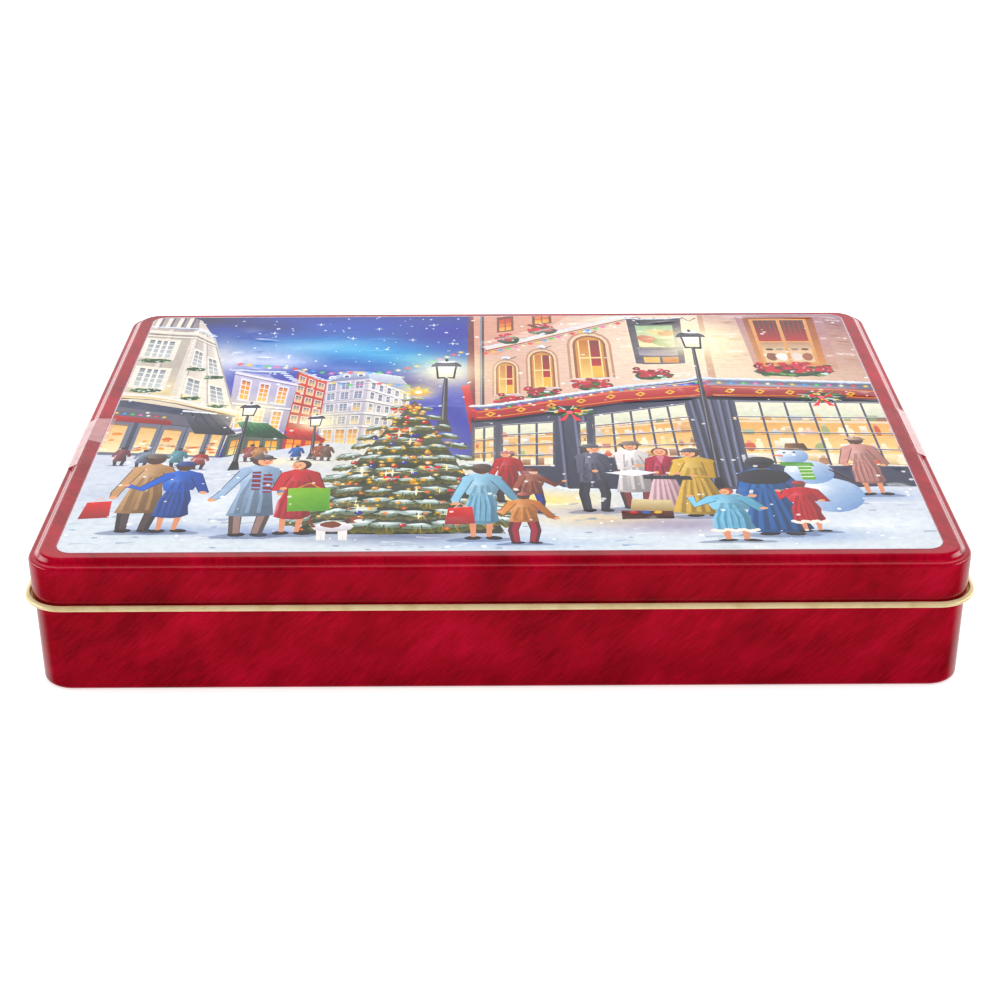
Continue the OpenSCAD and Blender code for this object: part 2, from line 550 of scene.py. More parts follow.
@dataclass(frozen=True)
class Glow:
    """Ink that fades out from the middle of an oval."""

    colour: str
    middle: Point
    reach: Point
    turn: float = 0.0
    strength: float = 1.0

    def mix(self, spots: np.ndarray) -> tuple[np.ndarray, np.ndarray]:
        """Colour and cover of the ink at each spot."""
        away = spots - self.middle
        cos, sin = math.cos(self.turn), math.sin(self.turn)
        across = (away[:, 0] * cos + away[:, 1] * sin) / self.reach[0]
        up = (away[:, 1] * cos - away[:, 0] * sin) / self.reach[1]
        fade = np.clip(1 - np.hypot(across, up), 0, 1) ** 1.4
        return np.tile(tint(self.colour), (len(spots), 1)), self.strength * fade


Ink = Flat | Wash | Glow


@dataclass
class Canvas:
    """Painted outlines in the order they were laid, back to front, in millimetres."""

    outlines: list[list[Point]] = field(default_factory=list)
    inks: list[Ink] = field(default_factory=list)

    def patch(self, outline: list[Point], ink: str | Ink, alpha: float = 1.0) -> None:
        """Lay one outline, turned anticlockwise, in an ink or a flat colour."""
        area = sum(a[0] * b[1] - b[0] * a[1] for a, b in zip(outline, outline[1:] + outline[:1]))
        self.outlines.append(list(outline) if area > 0 else list(outline)[::-1])
        self.inks.append(Flat(ink, alpha) if isinstance(ink, str) else ink)

    def oval(
        self, x: float, y: float, rx: float, ry: float, ink: str | Ink,
        alpha: float = 1.0, steps: int = 12, turn: float = 0.0,
    ) -> None:
        """Lay an oval, its long radius turned by an angle in radians."""
        cos, sin = math.cos(turn), math.sin(turn)
        ring = [(rx * math.cos(a), ry * math.sin(a)) for a in np.linspace(0, math.tau, steps, endpoint=False)]
        self.patch([(x + u * cos - v * sin, y + u * sin + v * cos) for u, v in ring], ink, alpha)

    def glow(
        self, x: float, y: float, rx: float, ry: float, colour: str, strength: float, turn: float = 0.0
    ) -> None:
        """Lay an oval that fades towards its rim."""
        self.oval(x, y, rx, ry, Glow(colour, (x, y), (rx, ry), turn, strength), steps=20, turn=turn)

    def line(
        self, way: list[Point], width: float, ink: str | Ink, alpha: float = 1.0, tip: float = 1.0
    ) -> None:
        """Lay a brush line of a width that narrows to tip times itself at its end."""
        left, right = [], []
        for i, (x, y) in enumerate(way):
            (x0, y0), (x1, y1) = way[max(i - 1, 0)], way[min(i + 1, len(way) - 1)]
            reach = math.hypot(x1 - x0, y1 - y0)
            half = 0.5 * width * (1 + (tip - 1) * i / (len(way) - 1))
            u, v = -(y1 - y0) / reach * half, (x1 - x0) / reach * half
            left.append((x + u, y + v))
            right.append((x - u, y - v))
        self.patch(left + right[::-1], ink, alpha)

    def dab(
        self, dice: random.Random, x: float, y: float, rx: float, ry: float, ink: str | Ink,
        rough: float = 0.25, alpha: float = 1.0, steps: int = 9, turn: float = 0.0,
    ) -> None:
        """Lay an uneven brush dab."""
        cos, sin = math.cos(turn), math.sin(turn)
        outline = []
        for i in range(steps):
            angle, size = math.tau * i / steps, 1 + dice.uniform(-rough, rough)
            u, v = rx * size * math.cos(angle), ry * size * math.sin(angle)
            outline.append((x + u * cos - v * sin, y + u * sin + v * cos))
        self.patch(outline, ink, alpha)

    def spark(self, x: float, y: float, size: float, colour: str = "#ffffff") -> None:
        """Lay a four-pointed glint."""
        ring = [(size * k * math.cos(a), size * k * math.sin(a)) for a, k in
                zip(np.linspace(0, math.tau, 8, endpoint=False), [1, 0.2] * 4)]
        self.patch([(x + u, y + v) for u, v in ring], colour, 0.9)

    def cells(self, grid: float, wide: float, deep: float) -> tuple[np.ndarray, np.ndarray, list[list[int]]]:
        """Cut the canvas into triangles along every outline.

        Args:
            grid: Spacing of extra points, so that washes and relief stay smooth.
            wide: Half width of the area that gets extra points.
            deep: Half depth of that area.

        Returns:
            Points, triangles, and for each triangle the outlines it lies in.
        """
        spots = [Vector(p) for outline in self.outlines for p in outline]
        starts = np.cumsum([0] + [len(outline) for outline in self.outlines])
        faces = [list(range(a, b)) for a, b in zip(starts, starts[1:])]
        for x in np.arange(-wide, wide, grid):
            spots += [Vector((x + 0.37, y + 0.21)) for y in np.arange(-deep, deep, grid)]
        points, _, triangles, _, _, owners = delaunay_2d_cdt(spots, [], faces, 1, 1e-4, True)
        return np.array([tuple(p) for p in points]), np.array(triangles), owners

    def colours(self, points: np.ndarray, triangles: np.ndarray, owners: list[list[int]]) -> np.ndarray:
        """Composite the inks over each triangle's corners, back to front; the third outline clips."""
        layers = [[] for _ in self.outlines]
        for cell, inks in enumerate(owners):
            for ink in inks:
                layers[ink].append(cell)
        colour = np.ones((len(triangles), 3, 3))
        middle = points[triangles].mean(axis=1)
        inside = np.zeros(len(triangles), bool)
        inside[layers[2]] = True
        for i, (outline, ink, cells) in enumerate(zip(self.outlines, self.inks, layers)):
            cells = np.array(cells, int)
            cells = cells[inside[cells]] if i > 2 else cells
            low, high = np.min(outline, axis=0), np.max(outline, axis=0)
            cells = cells[np.all((middle[cells] >= low) & (middle[cells] <= high), axis=1)]
            if len(cells):
                tone, cover = ink.mix(points[triangles[cells]].reshape(-1, 2))
                cover = cover.reshape(-1, 3, 1)
                colour[cells] = colour[cells] * (1 - cover) + tone.reshape(-1, 3, 3) * cover
        return colour


@dataclass
class Wall:
    """A four-cornered wall in perspective; u runs along it and v up it, from 0 to 1."""

    canvas: Canvas
    foot_left: Point
    foot_right: Point
    top_right: Point
    top_left: Point

    def at(self, u: float, v: float) -> Point:
        """Point of the picture at a place on the wall."""
        foot = [a + (b - a) * u for a, b in zip(self.foot_left, self.foot_right)]
        top = [a + (b - a) * u for a, b in zip(self.top_left, self.top_right)]
        return tuple(a + (b - a) * v for a, b in zip(foot, top))

    def quad(self, u0: float, v0: float, u1: float, v1: float) -> list[Point]:
        """Corners of an upright patch of the wall."""
        return [self.at(u0, v0), self.at(u1, v0), self.at(u1, v1), self.at(u0, v1)]

    def paint(self, first: str, last: str, across: bool = False) -> None:
        """Wash the whole wall, upwards or across."""
        start, end = (self.at(0, 0.5), self.at(1, 0.5)) if across else (self.at(0.5, 0), self.at(0.5, 1))
        self.canvas.patch(self.quad(0, 0, 1, 1), Wash(first, last, start, end))

    def band(self, v: float, thick: float, ink: str, alpha: float = 1.0) -> None:
        """Run a moulding along the wall."""
        self.canvas.patch(self.quad(0, v - thick / 2, 1, v + thick / 2), ink, alpha)

    def window(
        self, u: float, v: float, wide: float, tall: float, frame: str, low: str, high: str,
        bars: tuple[int, int] = (2, 3), bar: str = "", rim: float = 0.16,
    ) -> None:
        """Paint a framed window about its middle.

        Args:
            u: Middle along the wall.
            v: Middle up the wall.
            wide: Width of the glass, as a share of the wall.
            tall: Height of the glass, as a share of the wall.
            frame: Colour of the surround.
            low: Colour of the glass at its foot.
            high: Colour of the glass at its top.
            bars: Panes across and panes up.
            bar: Colour of the glazing bars, the frame's if empty.
            rim: Width of the surround, as a share of the glass.
        """
        u0, u1, v0, v1 = u - wide / 2, u + wide / 2, v - tall / 2, v + tall / 2
        out_u, out_v = wide * rim, tall * rim * 0.6
        self.canvas.patch(self.quad(u0 - out_u * 1.3, v0 - out_v, u1 + out_u * 1.3, v1 + out_v * 1.4), frame)
        self.canvas.patch(self.quad(u0, v0, u1, v1), Wash(low, high, self.at(u, v0), self.at(u, v1)))
        self.canvas.patch(self.quad(u0, v1 - out_v * 0.7, u1, v1), "#3a3040", 0.45)
        for i in range(1, bars[0]):
            mid = u0 + wide * i / bars[0]
            half = wide * 0.045
            self.canvas.patch(self.quad(mid - half, v0, mid + half, v1), bar or frame)
        for i in range(1, bars[1]):
            mid = v0 + tall * i / bars[1]
            half = tall * 0.022
            self.canvas.patch(self.quad(u0, mid - half, u1, mid + half), bar or frame)


class Dress(Enum):
    """How a painted figure is dressed from the waist down."""

    TROUSERS = 1
    COAT = 2
    GOWN = 3
    SKIRT = 4


@dataclass(frozen=True)
class Person:
    """One generic passer-by."""

    x: float
    foot: float
    tall: float
    wide: float
    dress: Dress
    top: str
    lower: str
    hat: str = ""
    hair: str = "#5a3a28"
    facing: int = 0  # -1 left, 0 away from the viewer, 1 right, 2 to the front
    reach: tuple[Point, ...] = ()  # hands, as shares of width and height from the middle of the feet


def shade(colour: str, by: float) -> str:
    """Darken (by < 0) or lighten a hex colour."""
    aim = 1.0 if by > 0 else 0.0
    parts = tint(colour) * (1 - abs(by)) + aim * abs(by)
    return "#" + "".join(f"{round(255 * part):02x}" for part in parts)


@dataclass
class StreetPicture:
    """A generic winter street: houses, a lit shop, a decorated fir and passers-by."""

    canvas: Canvas = field(default_factory=Canvas)
    dice: random.Random = field(default_factory=lambda: random.Random(24))
    lights: tuple[str, ...] = ("#ff4a3d", "#ffd75a", "#4fb4ff", "#5ad66a", "#ff8ac8", "#fff3d0")

    def at_random(self, low: float, high: float) -> float:
        """A number between two others."""
        return self.dice.uniform(low, high)

    def sky(self) -> None:
        """Night sky with a cyan glow, mauve cloud and stars."""
        art = self.canvas
        art.patch([(-143, 10), (-5, 10), (-5, 103), (-143, 103)],
                  Wash("#6468bc", "#2c4494", (0, 25), (0, 100)))
        for glow in (
            (-60, 92, 76, 18, "#3a6ccc", 0.8, 0.0), (-55, 66, 78, 28, "#46a6dc", 1.0, -0.14),
            (-30, 56, 52, 18, "#44aadc", 0.9, -0.2), (-70, 70, 46, 13, "#aedcf2", 0.8, 0.05),
            (-44, 60, 40, 9, "#90cdea", 0.6, -0.25), (-100, 56, 40, 24, "#e9ebf5", 1.0, 0.2),
            (-84, 54, 26, 12, "#e2e8fa", 0.9, 0.0),
            (-36, 31, 32, 12, "#2f2468", 0.8, 0.15), (-18, 86, 24, 15, "#5048b4", 0.75, 0.5),
            (-17, 62, 16, 18, "#2f46b0", 0.6, 0.3), (-119, 99, 24, 11, "#191e4c", 0.9, 0.0),
            (-95, 92, 26, 9, "#1f2a6c", 0.7, -0.2), (-60, 47, 26, 6, "#c3d4f4", 0.45, -0.1),
        ):
            art.glow(*glow)
        for _ in range(34):
            start = self.at_random(-105, -25)
            level = 68 - (start + 60) * 0.12 + self.at_random(-14, 16)
            reach = self.at_random(6, 16)
            art.line([(start, level), (start + reach / 2, level + 0.6), (start + reach, level - 0.6)],
                     self.at_random(0.4, 1.1), "#d8f4ff", 0.16, 0.3)
        for _ in range(60):
            x, y, size = self.at_random(-114, -12), self.at_random(44, 101), self.at_random(0.22, 0.62)
            art.oval(x, y, size, size, "#e8f6ff", 0.85, steps=6)
        for x, y in ((-90, 84), (-72, 93), (-48, 88), (-34, 76), (-26, 92), (-58, 78), (-18, 72), (-82, 60)):
            art.spark(x, y, 1.9)

    def garland(self, way: list[Point], gap: float = 3.4, size: float = 0.85) -> None:
        """Hang coloured lamps along a wire."""
        self.canvas.line(way, 0.3, "#3c4060", 0.7)
        turn = 0
        for (x0, y0), (x1, y1) in zip(way, way[1:]):
            count = max(1, round(math.hypot(x1 - x0, y1 - y0) / gap))
            for i in range(count):
                x, y = x0 + (x1 - x0) * i / count, y0 + (y1 - y0) * i / count - 0.8
                colour = self.lights[turn % len(self.lights)]
                self.canvas.oval(x, y, size * 1.7, size * 1.7, colour, 0.3, steps=6)
                self.canvas.oval(x, y, size * 0.8, size * 0.9, shade(colour, 0.15), steps=6)
                turn += 1

    def snow_ledge(self, way: list[Point], thick: float) -> None:
        """Heap snow on a ledge."""
        art = self.canvas
        for (x0, y0), (x1, y1) in zip(way, way[1:]):
            count = max(2, round(math.hypot(x1 - x0, y1 - y0) / (thick * 1.6)))
            for i in range(count + 1):
                x, y = x0 + (x1 - x0) * i / count, y0 + (y1 - y0) * i / count
                art.dab(self.dice, x, y, thick * 1.25, thick * self.at_random(0.4, 0.62), "#e9f0fa", 0.2,
                        steps=8)
                art.dab(self.dice, x, y - thick * 0.28, thick, thick * 0.2, "#b9c6e2", 0.2, 0.7, steps=7)

    def leaves(self, x: float, y: float, wide: float, tall: float, count: int, blooms: str = "") -> None:
        """Fill a window box with leaves, and flowers if a colour is given."""
        art = self.canvas
        art.dab(self.dice, x, y - tall * 0.2, wide / 2, tall / 2, "#2c4a30", 0.12, steps=14)
        for _ in range(count // 2 if blooms else count):
            u, v = self.at_random(-0.5, 0.5) * wide, self.at_random(-0.5, 0.45) * tall
            art.dab(self.dice, x + u, y + v - tall * 0.15, tall * 0.17, tall * 0.11,
                    self.dice.choice(("#5c8a4c", "#33603a", "#84a468", "#dfe8ea")), 0.3, steps=5)
        if blooms:
            for turn in range(round(count * 0.75)):
                u, v = self.at_random(-0.48, 0.48) * wide, self.at_random(-0.3, 0.5) * tall
                tone = shade(blooms, self.at_random(-0.4, 0.25))
                art.dab(self.dice, x + u, y + v, tall * 0.18, tall * 0.15, tone, 0.25, steps=6)
                if turn % 3 == 0:
                    art.oval(x + u, y + v, tall * 0.06, tall * 0.05, "#f4c8c8", steps=4)

    def grand_house(self) -> None:
        """Pale town house with a mansard roof, seen round its corner."""
        art = self.canvas
        art.patch([(-67, 33), (-62, 38), (-57, 43), (-50, 43), (-48, 36)],
                  Wash("#8a8fae", "#c8cfe4", (0, 33), (0, 43)))
        art.patch([(-49, 36), (-50, 43), (-37, 38), (-33, 28), (-33, 22)],
                  Wash("#9aa0bc", "#dde4f2", (0, 26), (0, 43)))
        left = Wall(art, (-64, -24), (-49.5, -24), (-49, 37), (-66.5, 33))
        right = Wall(art, (-49.5, -24), (-33, -22), (-33, 23), (-49, 37))
        left.paint("#a7a6b8", "#cdc9d6")
        right.paint("#c2bcc2", "#e4dfe0")
        for wall, tone in ((left, "#d8d3da"), (right, "#f6f2f2")):
            for level in (0.29, 0.48, 0.67, 0.84, 0.985):
                wall.band(level, 0.022, tone)
                wall.band(level - 0.02, 0.012, "#77748c", 0.75)
        for row in (0.38, 0.575, 0.755, 0.91):
            for col in (0.2, 0.5, 0.8):
                glass = self.dice.choice(("#f3c878", "#7d86a4", "#f6d9a0", "#8e98b6"))
                left.window(col, row, 0.16, 0.105, "#e2dee4", glass, "#8a90a4")
            for col in (0.12, 0.31, 0.5, 0.69, 0.88):
                glass = self.dice.choice(("#a0a4b8", "#9096ac", "#f0d8a8"))
                right.window(col, row, 0.085, 0.1, "#f4f1f2", glass, "#7c839c", bars=(1, 2))
        for col in (0.2, 0.5, 0.8):
            left.window(col, 0.14, 0.2, 0.2, "#d9d4dc", "#ffdf9a", "#c88f52")
            right.window(col, 0.14, 0.2, 0.19, "#e4dfe4", "#ffe0a4", "#a8804e")
            art.oval(*left.at(col, 1.07), 1.6, 1.9, "#eef0f8", steps=8)
            art.oval(*left.at(col, 1.06), 0.9, 1.2, "#6d769a", steps=8)
        self.snow_ledge([(-66, 34), (-57, 43.4), (-50, 43.4), (-37, 38.4)], 1.1)

    def red_house(self) -> None:
        """Tall brick-red house with a shop and a red awning."""
        art = self.canvas
        wall = Wall(art, (-77, -10), (-65, -12), (-65, 34), (-77, 45))
        wall.paint("#a8453f", "#d96f58")
        art.patch(wall.quad(0.0, 0, 0.06, 1), "#7d2f36", 0.6)
        for row in (0.2, 0.37, 0.54, 0.71, 0.88):
            for col in (0.2, 0.52, 0.83):
                wall.window(col, row, 0.17, 0.1, "#f1d9cf", "#ffd68c", "#5c5f7c")
        self.snow_ledge([(-77, 45.5), (-65, 34.5)], 1.1)
        shop = Wall(art, (-77, -34), (-62, -31), (-62, -17), (-77, -12))
        shop.paint("#8c2430", "#b33440")
        shop.window(0.28, 0.5, 0.34, 0.7, "#c43a40", "#ffe2a0", "#f09a4e")
        shop.window(0.73, 0.5, 0.34, 0.7, "#c43a40", "#ffe2a0", "#e0803e")
        art.patch([(-77, -7), (-68, -9), (-61, -19), (-75, -17)],
                  Wash("#e0434a", "#96181f", (-74, -7), (-70, -19)))
        for step in (0.25, 0.5, 0.75):
            art.line([(-77 + 9 * step, -7 - 2 * step), (-75 + 14 * step, -17 - 2 * step)], 0.5, "#7c1119",
                     0.6)

    def lilac_house(self) -> None:
        """Lilac-grey house with tall lit windows and a green awning."""
        art = self.canvas
        wall = Wall(art, (-98, -14), (-77, -14), (-76, 33), (-101, 45))
        wall.paint("#9a97b6", "#cdc8dd")
        for level in (0.04, 0.49, 0.965):
            wall.band(level, 0.03, "#efeaf2")
            wall.band(level - 0.026, 0.014, "#6f6b8c", 0.8)
        for col in (0.2, 0.5, 0.8):
            for row in (0.27, 0.72):
                wall.window(col, row, 0.13, 0.29, "#e9e3ee", "#ffc873", "#e0995a", bars=(2, 4), bar="#f6f1f0")
                self.snow_ledge([wall.at(col - 0.09, row - 0.17), wall.at(col + 0.09, row - 0.17)], 0.6)
        self.snow_ledge([(-101, 45.5), (-83, 44), (-76, 33.5)], 1.3)
        shop = Wall(art, (-97, -33), (-76, -33), (-77, -13), (-97, -12))
        shop.paint("#3d4a4c", "#56625f")
        for col in (0.2, 0.5, 0.8):
            shop.window(col, 0.45, 0.2, 0.6, "#6a7368", "#ffe6ae", "#efae5c", bars=(2, 2))
        art.patch([(-95, -2), (-84, -3), (-74, -17), (-90, -15)],
                  Wash("#2f7a52", "#14402c", (-88, -2), (-84, -17)))
        for step in (0.2, 0.4, 0.6, 0.8):
            art.line([(-95 + 11 * step, -2 - step), (-90 + 16 * step, -15 - 2 * step)], 0.45, "#0f3222", 0.6)
        art.line([(-95, -1.6), (-84, -2.6)], 0.9, "#e6eef4", 0.9)

    def cream_house(self) -> None:
        """Cream corner house with a round roof, garlands and a curved shop front."""
        art = self.canvas
        art.patch([(-143, 103), (-127, 103), (-121, 98), (-114, 80), (-96, 3), (-98, -34), (-143, -34)],
                  "#dcd3cb")
        left = Wall(art, (-143, 22), (-121, 17), (-121, 88), (-143, 92))
        right = Wall(art, (-121, 17), (-96.5, 4), (-114, 80), (-121, 88))
        left.paint("#d3cabd", "#bdb4ae", across=True)
        right.paint("#c6beba", "#ece5dc", across=True)
        art.glow(-126, 30, 30, 22, "#fff0cc", 0.6)
        art.glow(-110, 62, 13, 34, "#f2ece4", 0.7)
        art.patch([(-143, 88), (-121, 85), (-122, 99), (-128, 103), (-143, 103)],
                  Wash("#cfc4bd", "#8f8792", (-140, 90), (-122, 100)))
        for x in (-139, -134.5, -130, -126):
            art.line([(x, 90), (x + 0.6, 101)], 1.7, "#efe8e0")
            art.line([(x + 1.5, 90), (x + 2, 101)], 0.9, "#6f6470", 0.8)
        art.glow(-118, 22, 26, 16, "#ffe9a8", 0.6)
        for u in (0.04, 0.5, 0.97):
            art.line([left.at(u, 0.02), left.at(u, 0.98)], 2.2, "#e6dfd6", 0.8)
            art.line([left.at(u + 0.05, 0.02), left.at(u + 0.05, 0.98)], 0.6, "#978d8e", 0.6)
        for u in (0.05, 0.5, 0.93):
            art.line([right.at(u, 0.02), right.at(u, 0.98)], 2.0, "#f0eae2", 0.8)
            art.line([right.at(u + 0.06, 0.02), right.at(u + 0.06, 0.98)], 0.6, "#978d8e", 0.55)
        for wall in (left, right):
            for level, thick in ((0.045, 0.03), (0.87, 0.02), (0.93, 0.045)):
                wall.band(level, thick, "#eee8de", 0.9)
                wall.band(level - thick * 0.8, thick * 0.5, "#8d8282", 0.65)
        for u, v in ((0.42, 0.68), (0.45, 0.27)):
            left.window(u, v, 0.46, 0.24, "#eee9df", "#cfd2d2", "#9aa0a6", bars=(4, 4), bar="#f4f1ea")
            self.leaves(*left.at(u, v - 0.16), 12.5, 4.0, 30)
        for u, v in ((0.27, 0.6), (0.73, 0.56), (0.27, 0.22), (0.74, 0.2)):
            right.window(u, v, 0.24, 0.2, "#f2ede4", "#cdcfd0", "#979da6", bars=(2, 4), bar="#f6f2ea")
            self.leaves(*right.at(u, v - 0.13), 7.5, 3.4, 20)
        self.snow_ledge([(-143, 92), (-121, 89), (-114, 81)], 1.2)
        ledge = [(-143, 22), (-129, 20), (-119, 16), (-110, 11), (-96, 4)]
        art.line(ledge, 3.6, "#e6d3ae")
        art.line([(x, y - 2.2) for x, y in ledge], 1.3, "#6d5540", 0.9)
        art.line([(x, y + 1.5) for x, y in ledge], 1.0, "#ffffff", 0.85)
        shop = Wall(art, (-143, -31), (-98, -34), (-97, 2), (-143, 19))
        shop.paint("#41465a", "#5b5f72")
        shop.band(0.78, 0.2, "#7a7480", 0.8)
        for u, wide in ((0.1, 0.2), (0.37, 0.13), (0.57, 0.14), (0.77, 0.13), (0.93, 0.08)):
            shop.window(u, 0.34, wide, 0.5, "#7c8090", "#fbeac8", "#e8c490", bars=(1, 1))
            for _ in range(9):
                x, y = shop.at(u + self.at_random(-0.4, 0.4) * wide, self.at_random(0.13, 0.42))
                tone = self.dice.choice(("#f7a24a", "#fff6df", "#d7743a", "#c6b2a0"))
                art.dab(self.dice, x, y, 1.3, 0.9, tone, 0.4, 0.75, steps=7)
        art.patch([(-143, 5), (-119, -0.5), (-118, -5), (-143, 0)],
                  Wash("#c52a35", "#8e1822", (0, 4), (0, -4)))
        self.garland([(-143, 8), (-119, 2.5)], 3.2, 0.7)
        art.patch([(-116, 7), (-103, 4), (-93, -14), (-109, -12)],
                  Wash("#6a6a78", "#2e3040", (-110, 7), (-102, -14)))
        art.line([(-116, 7.4), (-103, 4.4)], 1.1, "#eef2f8")
        for step in (0.25, 0.5, 0.75):
            fold = [(-116 + 13 * step, 7 - 3 * step), (-109 + 16 * step, -12 - 2 * step)]
            art.line(fold, 0.4, "#20212c", 0.6)

    def tall_house(self) -> None:
        """Peach brick house on the right, over the shop."""
        art = self.canvas
        side = [(-11, 103), (82, 103), (80, 33), (47, 26), (1, 10), (-11, 8)]
        art.patch(side, Wash("#dfbcae", "#f0e0d0", (-10, 0), (72, 0)))
        art.patch([(82, 103), (143, 103), (143, 27), (80, 33)],
                  Wash("#f4dfc8", "#b8948e", (84, 40), (138, 92)))
        art.glow(128, 104, 60, 26, "#8f6a80", 0.85)
        art.patch([(-11, 103), (30, 103), (0, 60), (-11, 60)], "#d8957f", 0.3)
        for row in range(30):
            level = 13 + row * 3.0
            rise = 0.30 * (1 - row / 40)
            if level < 102:
                way = [(-11, level - 2), (30, level + 40 * rise * 0.9 - 2), (80, level + 90 * rise * 0.9 - 2)]
                art.line(way, 0.22, "#c98a72", 0.3)
                if level + 22 < 102:
                    art.line([(81, level + 22), (143, level + 17)], 0.2, "#c08a7c", 0.28)
        for x, y, size, strength in ((77, 74, 46, 0.9), (77, 74, 24, 1.0), (100, 42, 36, 0.3),
                                     (44, 50, 34, 0.3)):
            art.glow(x, y, size, size, "#fff2dc", strength)
        art.patch([(82, 103), (84, 103), (83, 33), (80, 33)], "#b98d78", 0.5)
        art.patch([(-12, 103), (-10, 103), (-8.5, 8), (-12, 8)], "#7a3f44")
        art.line([(-6.5, 103), (-6.0, 8)], 1.6, "#4a4650")
        art.line([(-6.9, 103), (-6.4, 8)], 0.5, "#a9a6b4")
        art.patch([(-14, 30), (-11, 31), (-7, -13), (-10, -14)],
                  Wash("#d8515a", "#a02534", (0, 30), (0, -13)))
        ledge = [(-5, 66), (10, 74), (30, 86), (52, 98.5), (58, 102)]
        art.line(ledge, 3.2, "#f4e6dc")
        art.line([(x, y - 2.0) for x, y in ledge], 0.8, "#9a6a62", 0.8)
        self.snow_ledge([(x, y + 1.4) for x, y in ledge], 1.1)
        for x, foot, top, wide in ((3, 21, 53, 7.5), (17, 27, 64, 9), (36, 36, 80, 12.5)):
            self.arched_window(x, foot, top, wide)
        for x, y, wide in ((3, 84, 6), (18, 92, 7)):
            wall = Wall(art, (x - wide / 2, y), (x + wide / 2, y + 2), (x + wide / 2, y + 17),
                        (x - wide / 2, y + 15))
            wall.window(0.5, 0.5, 0.8, 0.9, "#8a5a48", "#ffcf86", "#c9584a")
        for x, y, wide in ((4, 17, 10), (17, 23, 13), (36, 31, 15), (4, 77, 9), (18, 87, 12), (59, 41, 15),
                           (114, 44, 27)):
            self.leaves(x, y, wide, 9.5, int(wide * 1.7), "#cc2c46")
        self.garland([(-5, 62.5), (10, 70.5), (30, 82.5), (52, 95.0)], 3.4, 0.8)

    def arched_window(self, x: float, foot: float, top: float, wide: float) -> None:
        """Deep arched window with a stone surround, lit from inside."""
        art = self.canvas
        tall = top - foot
        for grow, colour in ((1.4, "#c8a08c"), (1.24, "#ecd6bc"), (1.04, "#a06c54"), (0.88, "#d6a468")):
            half = wide / 2 * grow
            spring = foot + tall * 0.78
            arch = [(x + half * math.cos(a), spring + (tall * 0.22 + half * 0.3) * grow * 0.8 * math.sin(a))
                    for a in np.linspace(0, math.pi, 9)]
            art.patch([(x - half, foot), (x + half, foot + 1.2), *arch[:-1], (x - half, spring)], colour)
        half = wide * 0.36
        head = top - tall * 0.12
        wall = Wall(art, (x - half, foot + 1), (x + half, foot + 1.6), (x + half, head), (x - half, head))
        art.patch(wall.quad(0.0, 0, 0.5, 1), Wash("#f6dc9c", "#c88a54", wall.at(0, 0), wall.at(0, 1)))
        art.patch(wall.quad(0.5, 0.25, 1, 1), Wash("#c84844", "#8c2434", wall.at(0, 0.2), wall.at(0, 1)))
        art.patch(wall.quad(0.5, 0, 1, 0.3), "#f6c878")
        for u in (0.0, 0.47, 0.95):
            art.patch(wall.quad(u, 0, u + 0.06, 1), "#fbe6b8")
        wall.band(0.52, 0.035, "#fbe6b8")
        self.snow_ledge([(x - wide * 0.55, foot), (x + wide * 0.55, foot + 1)], 0.8)
        art.line([(x, top + 1.5), (x + 4, top + 5)], 0.6, "#4a4048")
        art.dab(self.dice, x, top + 4, 1.9, 1.7, "#e8edf6", 0.1, steps=9)
        art.oval(x - 0.3, top + 2.9, 1.2, 0.8, "#a59a9a", steps=8)

    def framed_windows(self) -> None:
        """Dark hanging showcase and the big window of the upper floor."""
        art = self.canvas
        case = Wall(art, (54, 50), (72, 50), (74, 98), (53, 98))
        art.patch(case.quad(-0.03, 0, 1.03, 1.0), Wash("#6a6672", "#3e3c4c", (0, 50), (0, 98)))
        art.patch(case.quad(0.12, 0.36, 0.86, 0.84), Wash("#f6ecc4", "#a9c4a4", (0, 64), (0, 90)))
        for x, y, size, tone in ((60, 76, 4, "#c65c48"), (66, 72, 4.5, "#7a9a6a"), (63, 84, 4, "#e8d8a0"),
                                 (68, 82, 3, "#d88a5a")):
            art.dab(self.dice, x, y, size, size, tone, 0.3, 0.7)
        art.patch(case.quad(0.08, 0.18, 0.9, 0.3), Wash("#b4aab8", "#8a8496", (0, 58), (0, 64)))
        art.patch(case.quad(0.16, 0.03, 0.5, 0.15), "#f2c98c")
        art.patch(case.quad(0.56, 0.03, 0.9, 0.15), "#d9a070")
        for x in (52, 58, 64, 70, 75):
            art.line([(x, 99), (x + 3, 95), (x + 6, 98.5)], 0.7, "#2c2b38")
        self.snow_ledge([(53, 97.5), (74, 98)], 1.2)
        art.patch([(97, 100), (133, 100), (131, 44), (99, 44)], Wash("#d4b0a0", "#b4909a", (0, 45), (0, 100)))
        art.patch([(100, 99), (129, 99), (127, 46), (101, 46)], Wash("#dca878", "#a06448", (0, 48), (0, 99)))
        big = Wall(art, (103, 50), (124.5, 50), (126, 97), (102.5, 97))
        art.patch(big.quad(0, 0.0, 1, 1), Wash("#e6cfae", "#5a2228", (0, 62), (0, 96)))
        for u0, u1 in ((0.02, 0.46), (0.54, 0.98)):
            art.patch(big.quad(u0, 0.48, u1, 0.98), Wash("#bc3430", "#541018", (0, 74), (0, 96)))
            for i in range(5):
                u = u0 + (u1 - u0) * (i + 0.5) / 5
                art.line([big.at(u, 0.98), big.at(u, 0.5)], 0.6, "#d05048", 0.5, 0.4)
        for x, tone in ((107, "#9a6a58"), (111, "#f2ece8"), (117, "#e8dcd4"), (121, "#b07c66")):
            art.dab(self.dice, x, 57, 2.4, 4.0, tone, 0.15)
            art.oval(x, 63, 1.5, 1.9, "#f4cdb0", steps=9)
            art.oval(x, 64.4, 1.6, 1.2, shade(tone, -0.35), steps=8)
        for u in (0.0, 0.47, 0.94):
